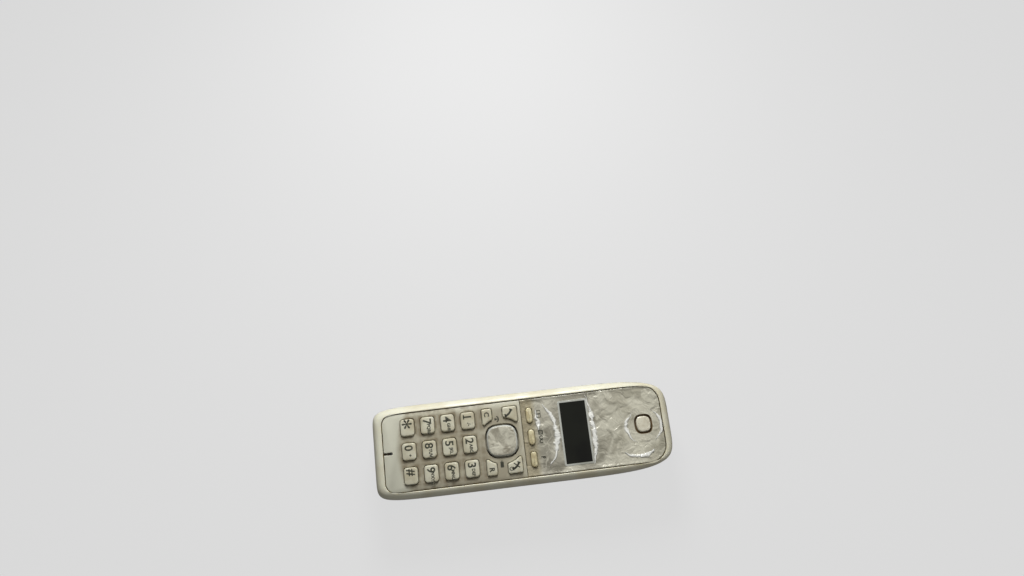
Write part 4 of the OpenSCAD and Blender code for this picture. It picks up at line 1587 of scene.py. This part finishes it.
@dataclass
class DisplayPanel:
    """The panel round the display, the soft keys and the earpiece.

    Attributes:
        plan: the driving sizes.
        border: width of the sloping border.
        sink: how far the plate inside it lies under the border.
        slot: width of the slot round the earpiece cap.
        cap_size: the cap's size across.
    """

    plan: Plan
    border: float = 1.25
    sink: float = 0.32
    slot: float = 0.9
    cap_size: float = 7.9

    def cap_outline(self, grow: float = 0.0) -> Outline:
        """The earpiece cap's outline, or a larger one."""
        return squircle(middle("earpiece_cap"), 7.2 + 2 * grow, self.cap_size + 2 * grow, 3.0, 72)

    def window(self, grow: float, radius: float) -> Outline:
        """The display window's outline, grown."""
        x, y = span("display_lens", 0), span("display_lens", 1)
        return rounded_rectangle(middle("display_lens"), x[1] - x[0] + 2 * grow, y[1] - y[0] + 2 * grow, radius, 6)

    def build(self, palette: Palette) -> None:
        """Makes the panel, its window, the window's frame and the earpiece cap."""
        plan = self.plan
        face = plan.face
        plate = face - self.sink
        x = (span("display_panel", 0)[0], plan.panel_x[1])
        radii = (0.3, PANEL_R_EAR)
        steps = [(plan.panel_z[0], 0.0), (face - 0.28, 0.0), (face - 0.1, 0.08), (face, 0.3)]
        rings = [at_height(panel_outline(x, plan.panel_y, radii, d), z) for z, d in steps]
        for z, d in ((face - 0.02, 0.5), (plate + 0.06, self.border), (plate, self.border + 0.25)):
            rings.append(at_height(panel_outline(x, plan.panel_y, radii, d, (0.3 / d, 1.0)), z))
        panel = loft("display_plate", rings)
        cutters = [hole(SoftKeys.outline(name, KEY_GAP), plate, flare=0.15) for name in SoftKeys.names]
        cutters.append(prism("window", self.window(0.03, 0.25), (face - 1.0, face + 1)))
        cutters.append(prism("opening", self.window(-0.7, 0.5), (face - 4, face)))
        cutters.append(hole(self.cap_outline(self.slot), plate, flare=0.2))
        carve(panel, cutters)
        cap = middle("earpiece_cap")
        around = 0.5 * self.cap_size + self.slot
        # The walls of the slot round the earpiece cap take brown painted shade.
        dress(
            panel,
            palette.foil,
            [(palette.tan, lambda c, n: abs(n.z) < 0.9 and max(abs(c.x - cap[0]), abs(c.y - cap[1])) < around + 0.4)],
        )
        smooth(panel)
        marks = self.signs(plate)
        panel = printed(panel, marks, palette.ink)
        frame = self.window_frame(plate)
        dress(frame, palette.frame)
        panel = join("display_plate", [panel, frame])
        seat(panel, "handset", "display_face", "display_panel")
        self.build_lens(palette, plate)
        self.build_cap(palette)

    def window_frame(self, plate: float) -> Piece:
        """The thin light bead round the window."""
        outer, inner = self.window(1.0, 1.0), self.window(0.05, 0.3)
        steps = ((plate - 0.05, 0.0), (plate + 0.02, 0.0), (plate + 0.1, 0.12))
        bead = loft("window_frame", [at_height(inset(outer, d), z) for z, d in steps])
        carve(bead, [prism("middle", inner, (plate - 1, plate + 1))])
        return bead

    def signs(self, plate: float) -> list[Piece]:
        """The small signs printed above the soft keys."""
        x = middle("soft_key_middle")[0] + 4.9
        marks = []
        for y in (10.4, 12.3):
            page = [(x - 1.0, y - 0.8), (x + 1.0, y - 0.8), (x + 1.0, y + 0.8), (x - 1.0, y + 0.8)]
            marks.append(Printer.stroke(page, 0.42, plate, closed=True))
        for y in (2.9, 2.0, 1.1):
            marks.append(Printer.stroke([(x - 1.1, y), (x + 1.1, y)], 0.5, plate))
        for across in (-0.9, 0.9):
            marks.append(Printer.stroke([(x + across, 3.1), (x + across, 0.9)], 0.5, plate))
        for y in (-0.7, -2.6):
            marks.append(Printer.stroke(arc((x, y), 0.8, 20, 340, 14), 0.5, plate))
        marks.append(Printer.stroke([(x - 1.2, -10.4), (x + 1.0, -10.4)], 0.55, plate))
        marks.append(Printer.stroke(arc((x + 0.45, -10.5), 0.65, 180, 360, 10), 0.5, plate))
        return marks

    def build_lens(self, palette: Palette, plate: float) -> None:
        """Makes the dark window."""
        low = span("display_lens", 2)[0]
        steps = [(low, 0.0), (plate - 0.06, 0.0), (plate + 0.04, 0.12)]
        outline = self.window(0.0, 0.25)
        lens = loft("display_window", [at_height(inset(outline, d), z) for z, d in steps])
        dress(lens, palette.glass)
        smooth(lens)
        seat(lens, "handset", "display_window", "display_lens")

    def build_cap(self, palette: Palette) -> None:
        """Makes the earpiece cap with its flange."""
        low, top = span("earpiece_cap", 2)
        step = self.plan.panel_z[0] - 0.05
        high = [(step, 0.0), (top - 0.6, 0.0), (top - 0.32, 0.08), (top - 0.1, 0.28), (top, 0.62)]
        foot = squircle(middle("earpiece_cap"), 13.5, 13.5, 3.0, 72)
        rings = [at_height(foot, low), at_height(foot, step), *stack(self.cap_outline(), high)]
        rings.append(at_height(inset(self.cap_outline(), 1.6), top + 0.0))
        cap = loft("earpiece_button", rings)
        # The flange, seen through the slot, takes brown painted shade.
        dress(cap, palette.cap, [(palette.tan, lambda c, n: c.z < step + 0.01)])
        smooth(cap)
        seat(cap, "handset", "keys", "earpiece_cap")


@dataclass
class KeySheet:
    """The rubber sheet under the keys, with a dome for each key; the domes are modelled at rest, though a real one
    gives way as its key is pressed.

    Attributes:
        thickness: thickness of the sheet.
        travel: how far a key goes down; it is not used.
        hollow: radius of a dome's hollow.
        rocker: distance of the navigator's domes from its middle.
        clear: room between those domes and the navigator, for its tilt.
    """

    thickness: float = 0.9
    travel: float = 0.8
    hollow: float = 1.5
    rocker: float = 6.2
    clear: float = 0.5

    def places(self) -> dict[str, Point]:
        """Each key's dome."""
        keys = ["key_star", "key_hash", *("key_" + sign for sign in "0123456789"), *SoftKeys.names]
        found = {name: middle(name) for name in keys}
        for name, side in (("key_clear", 1), ("key_talk", 1), ("key_recall", -1), ("key_off", -1)):
            found[name] = (middle(name)[0], side * 13.6)
        return found

    def dome(self, name: str, at: Point, sheet: float, top: float) -> Piece:
        """One hollow dome that stands on the sheet."""
        steps = [(top - 0.9, 1.2), (sheet - 0.01, self.hollow), (sheet - 0.01, 2.4), (sheet + 0.2, 2.25)]
        steps += [(top - 0.2, 1.5), (top - 0.05, 1.4), (top, 1.25)]
        rings = [at_height(squircle(at, 2 * radius, 2 * radius, 2.0, 32), z) for z, radius in steps]
        return loft(name, rings)

    def build(self, palette: Palette) -> None:
        """Makes the sheet and its domes."""
        low = span("keypad_membrane", 2)[0]
        top = low + self.thickness
        size = [span("keypad_membrane", axis)[1] - span("keypad_membrane", axis)[0] for axis in (0, 1)]
        outline = rounded_rectangle(middle("keypad_membrane"), size[0], size[1], 1.0, 6)
        sheet = prism("key_sheet", outline, (low, top), 0.12)
        nav = middle("navigator_key")
        arms = [(nav[0] + self.rocker * math.cos(a), nav[1] + self.rocker * math.sin(a)) for a in turns(4)]
        places = self.places()
        hollows = [drum("hollow", at, self.hollow, (low - 1, top + 1), 32) for at in [*places.values(), *arms]]
        carve(sheet, hollows)
        under = span("navigator_key", 2)[0] - self.clear
        domes = [self.dome("dome", at, top, under) for at in arms]
        sheet = join("key_sheet", [sheet, *domes])
        dress(sheet, palette.silicone)
        smooth(sheet)
        seat(sheet, "handset", "silicone", "keypad_membrane")
        for name, at in places.items():
            flange = span(name, 2)[0]
            dome = self.dome(name + "_dome", at, top, flange)
            dress(dome, palette.silicone)
            smooth(dome)
            seat(dome, "handset", "silicone")
            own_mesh(dome)


# ---------------------------------------------------------------------------------------------
# Cases
# ---------------------------------------------------------------------------------------------


@dataclass
class FrontShell:
    """The upper case with its rim, the groove and the deck under the panels.

    Attributes:
        plan: the driving sizes.
        profile: the outside's shape.
        deck: thickness of the deck.
    """

    plan: Plan
    profile: Profile
    deck: float = 1.4

    def pocket(self, grow: float) -> Outline:
        """The outline of the pocket that takes the panels."""
        plan = self.plan
        x = (plan.panel_x[0] - grow, plan.panel_x[1] + grow)
        radii = (PANEL_R_MIC + grow, PANEL_R_EAR + grow)
        return panel_outline(x, plan.panel_y + grow, radii)

    def rings(self) -> list[Ring]:
        """Every ring, from the deck's underside out over the rim and into the pocket."""
        plan, profile = self.plan, self.profile
        split, top = plan.split, plan.top
        hollow = profile.outline(top - 4.0, WALL)
        rings = [at_height(hollow, plan.panel_z[0] - self.deck), at_height(hollow, split + 0.02)]
        rings.append(at_height(profile.outline(split, 0.3), split))
        heights = [split + 0.04, split + 0.3, 16.5, 18.0, 20.0, 21.5, 22.2, 23.0, 23.5, 24.0, 24.5, 25.0, 25.4]
        heights += [25.8, 26.1, 26.35, 26.55, 26.7, 26.82, 26.92]
        for z in heights:
            rings.append(at_height(profile.outline(z, 0.12 if z < split + 0.1 else 0.0), z))
        rim = profile.outline(top, 0.0)
        core = (plan.panel_x[0] + 12, plan.panel_x[1] - 12, plan.panel_y - 10)
        rings.append(at_height(rim, top))
        for grow, z in ((0.6, top - 0.03), (0.4, top - 0.2), (GROOVE, top - 0.5), (GROOVE, plan.panel_z[0])):
            rings.append(at_height(cast_on(self.pocket(grow), rim, core), z))
        return rings

    def windows(self) -> list[Piece]:
        """The cutters of the openings in the deck."""
        plan = self.plan
        z = (plan.panel_z[0] - self.deck - 1, plan.panel_z[0] + 1)
        well = (-plan.panel_y + 1.3, plan.panel_y - 1.3)
        keys = rounded_rectangle(((-63.5 + plan.seam - 0.7) / 2, 0), plan.seam - 0.7 + 63.5, 2 * well[1], 1.0)
        end = span("display_lens", 0)[1] + 2.2
        start = plan.seam + 1.3
        display = rounded_rectangle(((start + end) / 2, 0), end - start, 2 * well[1], 1.0)
        ear, mic = middle("earpiece_speaker"), middle("microphone")
        return [
            prism("keys_well", keys, z),
            prism("display_well", display, z),
            drum("ear_opening", ear, 7.0, z),
            drum("mic_opening", mic, 3.0, z, 32),
        ]

    def bosses(self) -> list[Piece]:
        """The screw posts and the ring that holds the earpiece's speaker."""
        deck = self.plan.panel_z[0] - self.deck + 0.01
        pieces = []
        for x, y, low, radius, bore in (
            (-67.0, 8.0, 10.4, 3.0, 1.3),
            (-67.0, -8.0, 10.4, 3.0, 1.3),
            (52.0, 11.5, 10.4, 3.0, 1.3),
            (52.0, -11.5, 10.4, 3.0, 1.3),
            (41.0, 14.5, 20.7, 2.2, 0.85),
            (41.0, -14.5, 20.7, 2.2, 0.85),
        ):
            post = drum("post", (x, y), radius, (low, deck), 40)
            carve(post, [drum("pilot", (x, y), bore, (low - 1, deck - 1.0), 24)])
            pieces.append(post)
        ear = middle("earpiece_speaker")
        pieces.append(tube("speaker_ring", ear, 9.0, 7.8, (span("earpiece_speaker", 2)[0], deck), 64))
        return pieces

    def build(self, palette: Palette) -> None:
        """Makes the shell."""
        shell = loft("front_shell", self.rings())
        carve(shell, self.windows())
        edge = self.pocket(0.44)
        floor = self.plan.panel_z[0]
        top = self.plan.top
        # The groove's walls take grime and painted shade.
        grimy_and_shaded = (palette.groove, lambda c, n: floor - 0.05 < c.z < top - 0.03 and within(edge, c.x, c.y))
        dress(shell, palette.shell, [grimy_and_shaded])
        smooth(shell)
        posts = join("posts", self.bosses())
        dress(posts, palette.shell)
        smooth(posts)
        shell = join("front_shell", [shell, posts])
        seat(shell, "handset", "shell", "front_case")


@dataclass
class RearShell:
    """The lower case with the battery bay, the grille and the screw wells.

    Attributes:
        plan: the driving sizes.
        profile: the outside's shape.
        shelf: thickness of the shelf above the battery cover.
        tongue: half width of the cover's tongue.
        screws: the case screws' places.
    """

    plan: Plan
    profile: Profile
    shelf: float = 1.4
    tongue: float = 8.0
    screws: tuple[Point, ...] = ((-67.0, 8.0), (-67.0, -8.0), (52.0, 11.5), (52.0, -11.5))

    @property
    def under(self) -> float:
        """Height of the shelf's underside."""
        return self.plan.cover_top + 0.3

    @property
    def edge(self) -> float:
        """Where the battery cover's opening ends."""
        return self.plan.cover_edge - 3.0

    def shell(self) -> Piece:
        """The bare shell, from its inside floor over its mouth to its flat back."""
        profile, split = self.profile, self.plan.split
        heights = [0.0, 0.35, 0.8, 1.4, 2.2, 3.5, 5.0, 7.0, 9.0, 12.0, split]
        rings = [at_height(profile.outline(z, WALL), WALL + z * (split - WALL) / split) for z in heights]
        rings[-1] = at_height(profile.outline(split, WALL), split - 0.01)
        rings.append(at_height(profile.outline(split, 0.3), split))
        for z in [split - 0.03, split - 0.3, 13.5, 12.0, 10.5, 9.0, 8.0, 7.0, 6.0, 5.0, 4.2, 3.5, 2.8, 2.2, 1.8, 1.4]:
            rings.append(at_height(profile.outline(z, 0.12 if z > split - 0.1 else 0.0), z))
        for z in [1.1, 0.8, 0.55, 0.35, 0.2, 0.08, 0.0]:
            rings.append(at_height(profile.outline(z), z))
        return loft("rear_shell", rings)

    def cutters(self) -> list[Piece]:
        """Everything that is cut out of the bare shell."""
        edge, under = self.edge, self.under
        half = self.tongue + 0.35
        cutters = [
            block("cover_zone", (-90, edge), (-40, 40), (-5, under)),
            block("tongue_room", (edge - 1, edge + 4), (-half, half), (1.45, WALL + 1)),
        ]
        cutters += [drum("well", at, 3.0, (-1, 9.0), 40) for at in self.screws]
        ringer = middle("ringer_speaker")
        holes = [(0.0, 0.0)]
        for ring in (1, 2):
            angles = [2 * math.pi * i / (6 * ring) for i in range(6 * ring)]
            holes += [(2.6 * ring * math.cos(a), 2.6 * ring * math.sin(a)) for a in angles]
        for x, y in holes:
            outline = squircle((ringer[0] + x, ringer[1] + y), 2.0, 2.0, 2.0, 24)
            rings = stack(outline, [(-0.5, -0.2), (0.0, 0.1), (0.35, 0.3), (WALL + 1, 0.3)])
            cutters.append(loft("grille_hole", rings))
        for side in (1, -1):
            y = (side * 13.0 - 2.6, side * 13.0 + 2.6)
            start = span("charge_contacts", 0)[0]
            cutters.append(block("contact_pocket", (-90, start + 0.4), y, (6.5, 12.1)))
            cutters.append(block("contact_slit", (start, start + 4.5), y, (11.5, 12.1)))
        return cutters

    def bay(self) -> list[Piece]:
        """The shelf, the battery bay and the rib between the cells."""
        plan = self.plan
        x = (span("battery_plates", 0)[0], span("battery_plates", 0)[1])
        half, rib = 11.5, 1.2
        top = span("battery_cell_1", 2)[1] + 0.15
        shelf = prism("shelf", self.profile.outline(self.under, WALL / 2), (self.under, self.under + self.shelf))
        cuts = [
            block("ear_side", (self.edge + 1, 90), (-40, 40), (0, 20)),
            block("opening", x, (-half, half), (0, 20)),
        ]
        cuts += [drum("well", at, 3.0, (0, 20), 40) for at in self.screws[:2]]
        carve(shelf, cuts)
        walls = block("bay", (x[0] - rib, x[1] + rib), (-half - rib, half + rib), (self.under, top + rib), 0.5)
        cuts = [block("inside", x, (-half, half), (0, top))]
        for side in (1, -1):
            y = (side * 5.85 - 1.6, side * 5.85 + 1.6)
            for start in (x[0], x[1] - 0.4):
                cuts.append(block("tab_slot", (start - 0.1, start + 0.5), y, (top - 1, plan.split + 5)))
        carve(walls, cuts)
        rib_wall = block("cell_rib", (x[0] + 8, x[1] - 8), (-0.3, 0.3), (self.under + 2, top), 0.12)
        return [shelf, walls, rib_wall]

    def rails(self) -> list[Piece]:
        """The rails of the cover's hooks and the bulkhead behind its tongue."""
        start = span("battery_plates", 0)[0] - 2
        pieces = []
        for side in (1, -1):
            upright = sorted((side * 17.0, side * 18.0))
            lip = sorted((side * 15.8, side * 17.01))
            pieces.append(block("rail", (start, self.edge - 4), tuple(upright), (2.6, self.under + 0.01), 0.15))
            pieces.append(block("rail_lip", (start, self.edge - 4), tuple(lip), (2.6, 3.4), 0.15))
        wide = self.plan.half_width - 5
        wall = block("bulkhead", (self.edge, self.edge + 1.2), (-wide, wide), (1.0, self.under + self.shelf), 0.2)
        half = self.tongue + 0.35
        carve(wall, [block("tongue_room", (self.edge - 1, self.edge + 3), (-half, half), (1.45, 2.95))])
        return [*pieces, wall]

    def posts(self) -> list[Piece]:
        """The screw wells' walls and the ring that holds the ringer."""
        pieces = []
        for i, at in enumerate(self.screws):
            low = self.under if i < 2 else WALL / 2
            post = drum("post", at, 4.2, (low, 10.4), 48, 0.3)
            carve(post, [drum("well", at, 3.0, (-1, 9.0), 40), drum("shank_hole", at, 1.55, (5, 12), 24)])
            pieces.append(post)
        ringer = middle("ringer_speaker")
        pieces.append(tube("ringer_ring", ringer, 10.3, 9.3, (WALL - 0.5, 6.3), 64))
        return pieces

    def build(self, palette: Palette) -> None:
        """Makes the shell."""
        shell = self.shell()
        carve(shell, self.cutters())
        dress(shell, palette.shell)
        smooth(shell)
        inside = join("bay", [*self.bay(), *self.rails(), *self.posts()])
        dress(inside, palette.shell)
        smooth(inside)
        shell = join("rear_shell", [shell, inside])
        seat(shell, "handset", "shell", "rear_case")


@dataclass
class BatteryCover:
    """The sliding cover of the battery bay.

    Attributes:
        plan: the driving sizes.
        profile: the outside's shape.
        tongue: length and half width of the tongue.
    """

    plan: Plan
    profile: Profile
    tongue: Point = (3.2, 8.0)

    def build(self, palette: Palette) -> None:
        """Makes the cover."""
        top = self.plan.cover_top
        heights = [0.0, 0.35, 0.8, 1.4, 2.2, 3.2, 4.0, top]
        rings = []
        for z in heights:
            rings.append(at_height(self.profile.outline(z, COVER_WALL), COVER_WALL + z * (top - COVER_WALL) / top))
        rings[-1] = at_height(self.profile.outline(top, COVER_WALL), top - 0.01)
        rings.append(at_height(self.profile.outline(top, 0.2), top))
        for z in [top - 0.2, 4.2, 3.5, 2.8, 2.2, 1.8, 1.4, 1.1, 0.8, 0.55, 0.35, 0.2, 0.08, 0.0]:
            rings.append(at_height(self.profile.outline(z), z))
        cover = loft("sliding_cover", rings)
        edge = self.plan.cover_edge - 3.2
        cutters = [block("ear_side", (edge, 90), (-40, 40), (-1, 8))]
        for i in range(4):
            start = edge - 14 + 2.4 * i
            groove = arc((start - 21.4, 0.0), 22.0, -17, 17, 16)
            left = [(x + 1.0, y) for x, y in groove]
            cutters.append(loft("finger_groove", stack(groove[::-1] + left, [(0.42, 0.25), (0.0, 0.0), (-0.5, -0.1)])))
        carve(cover, cutters)
        dress(cover, palette.shell)
        smooth(cover)
        fittings = join("hooks", self.hooks(edge))
        dress(fittings, palette.shell)
        smooth(fittings)
        cover = join("sliding_cover", [cover, fittings])
        seat(cover, "battery_cover", "shell", "battery_cover")

    def hooks(self, edge: float) -> list[Piece]:
        """The hooks that run in the rails, and the tongue."""
        bay = (span("battery_plates", 0)[0], span("battery_plates", 0)[1])
        under = self.plan.cover_top + 0.3
        pieces = []
        for side in (1, -1):
            upright = tuple(sorted((side * 14.2, side * 15.2)))
            lip = tuple(sorted((side * 14.2, side * 16.65)))
            for x in (bay[0], (bay[0] + bay[1] - 8) / 2, bay[1] - 8):
                pieces.append(block("hook", (x, x + 8), upright, (COVER_WALL - 0.01, under - 0.5), 0.1))
                pieces.append(block("hook_lip", (x, x + 8), lip, (3.75, under - 0.5), 0.1))
        length, half = self.tongue
        pieces.append(block("tongue_root", (edge - 4, edge - 0.5), (-half, half), (COVER_WALL - 0.01, 2.6), 0.1))
        pieces.append(block("tongue", (edge - 1, edge + length), (-half, half), (1.8, 2.6), 0.2))
        return pieces


@dataclass
class Cells:
    """The two battery cells, one shape turned end for end.

    Attributes:
        radius: radius of the sleeve.
        button: radius and height of the positive end's button.
    """

    radius: float = 5.25
    button: Point = (2.1, 1.1)

    def build(self, palette: Palette) -> None:
        """Makes the cells."""
        for name, heading in (("battery_cell_1", 1), ("battery_cell_2", -1)):
            low, high = span(name, 0)
            y, z = middle(name)[1], sum(span(name, 2)) / 2
            start = low if heading > 0 else high
            length = high - low
            rim, tip = self.radius, length - self.button[1]
            steps = [
                (0.0, 3.9),
                (0.0, 4.3),
                (0.25, rim - 0.45),
                (0.3, rim - 0.25),
                (0.45, rim - 0.05),
                (0.7, rim),
                (tip - 2.6, rim),
                (tip - 2.1, rim - 0.28),
                (tip - 1.7, rim - 0.28),
                (tip - 1.2, rim - 0.02),
                (tip - 0.5, rim - 0.1),
                (tip - 0.2, rim - 0.6),
                (tip - 0.15, rim - 1.0),
                (tip, self.button[0] + 0.35),
                (tip, self.button[0]),
                (length - 0.2, self.button[0]),
                (length, self.button[0] - 0.2),
            ]
            rings = []
            for along, radius in steps:
                x = start + heading * along
                ring = [(x, y + radius * math.cos(a), z + heading * radius * math.sin(a)) for a in turns(48)]
                rings.append(ring)
            cell = loft("cell_" + name[-1], rings)
            near = rim - 0.5

            def bare(c: Vector, n: Vector, y: float = y, z: float = z, near: float = near) -> bool:
                return abs(n.x) > 0.5 and math.hypot(c.y - y, c.z - z) < near

            def tipped(c: Vector, n: Vector, y: float = y, z: float = z) -> bool:
                return math.hypot(c.y - y, c.z - z) < 2.2

            dress(cell, palette.cell, [(palette.steel, lambda c, n: bare(c, n) or tipped(c, n))])
            smooth(cell, 40)
            seat(cell, "handset", "cell_wrap", name)


# ---------------------------------------------------------------------------------------------
# Studio
# ---------------------------------------------------------------------------------------------


@dataclass
class Studio:
    """The floor, the lights and the camera."""

    eye: tuple[float, float, float] = (-6.8, -10.2, 395.6)
    ahead: tuple[float, float, float] = (0.0278, 0.2371, -0.9711)
    right: tuple[float, float, float] = (0.9932, -0.1163, 0.0)
    lens: float = 24.6

    def build(self, palette: Palette) -> None:
        """Sets up the shot."""
        bpy.ops.object.select_all(action="DESELECT")
        bpy.ops.mesh.primitive_plane_add(size=6.0, location=(0, 0, -0.0002))
        floor = bpy.context.object
        floor.name = floor.data.name = "studio_floor"
        bpy.ops.object.transform_apply(location=True, rotation=True, scale=True)
        floor.data.materials.append(palette.floor)
        self.light("key_light", (0.0, 0.3, 0.23), 0.13, 1.28)
        self.light("fill_light", (0.8, 0.1, 0.8), 0.8, 1.5)
        world = bpy.data.worlds.new("studio_air")
        bpy.context.scene.world = world
        world.use_nodes = True
        world.node_tree.nodes["Background"].inputs["Color"].default_value = (1.0, 0.98, 0.94, 1.0)
        graph = Graph(world.node_tree)
        seen = graph.add("ShaderNodeLightPath", {}).outputs["Is Camera Ray"]
        glow = graph.add("ShaderNodeMapRange", {"Value": seen, "To Min": 0.15, "To Max": 0.75}).outputs[0]
        graph.feed(world.node_tree.nodes["Background"].inputs["Strength"], glow)
        self.camera()
        bpy.context.scene.view_settings.view_transform = "Standard"

    @staticmethod
    def light(name: str, place: tuple[float, float, float], size: float, power: float) -> None:
        """A square soft light that faces the handset."""
        bpy.ops.object.light_add(type="AREA", location=place)
        lamp = bpy.context.object
        lamp.name = name
        lamp.data.size = size
        lamp.data.energy = power
        lamp.rotation_euler = (-Vector(place)).to_track_quat("-Z", "Y").to_euler()

    def camera(self) -> None:
        """Sets the camera."""
        bpy.ops.object.camera_add(location=Vector(self.eye) * MM)
        camera = bpy.context.object
        back = -Vector(self.ahead).normalized()
        right = Vector(self.right).normalized()
        up = back.cross(right).normalized()
        right = up.cross(back).normalized()
        camera.rotation_euler = Matrix((right, up, back)).transposed().to_euler()
        camera.data.lens = self.lens
        camera.data.clip_start = 0.01
        bpy.context.scene.camera = camera


def main() -> None:
    """Builds the handset around its frame and sets up the shot."""
    logging.basicConfig(level=logging.INFO, format="%(name)s: %(message)s")
    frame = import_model()
    bpy.ops.object.select_all(action="DESELECT")
    plan = Plan()
    profile = Profile(plan)
    palette = Palette(plan, Effects())
    FrontShell(plan, profile).build(palette)
    RearShell(plan, profile).build(palette)
    BatteryCover(plan, profile).build(palette)
    Cells().build(palette)
    navigator = Navigator(plan)
    functions = FunctionKeys(plan)
    KeypadPanel(plan, navigator, functions).build(palette)
    DisplayPanel(plan).build(palette)
    DialPad(plan).build(palette)
    functions.build(palette)
    SoftKeys(plan).build(palette)
    navigator.build(palette)
    KeySheet().build(palette)
    for name, material in palette.carried().items():
        for slot in frame["nodes"][name].material_slots:
            slot.material = material
        log.info("%s keeps its solid, in %s", name, material.name)
    Studio().build(palette)


if __name__ == "__main__":
    main()
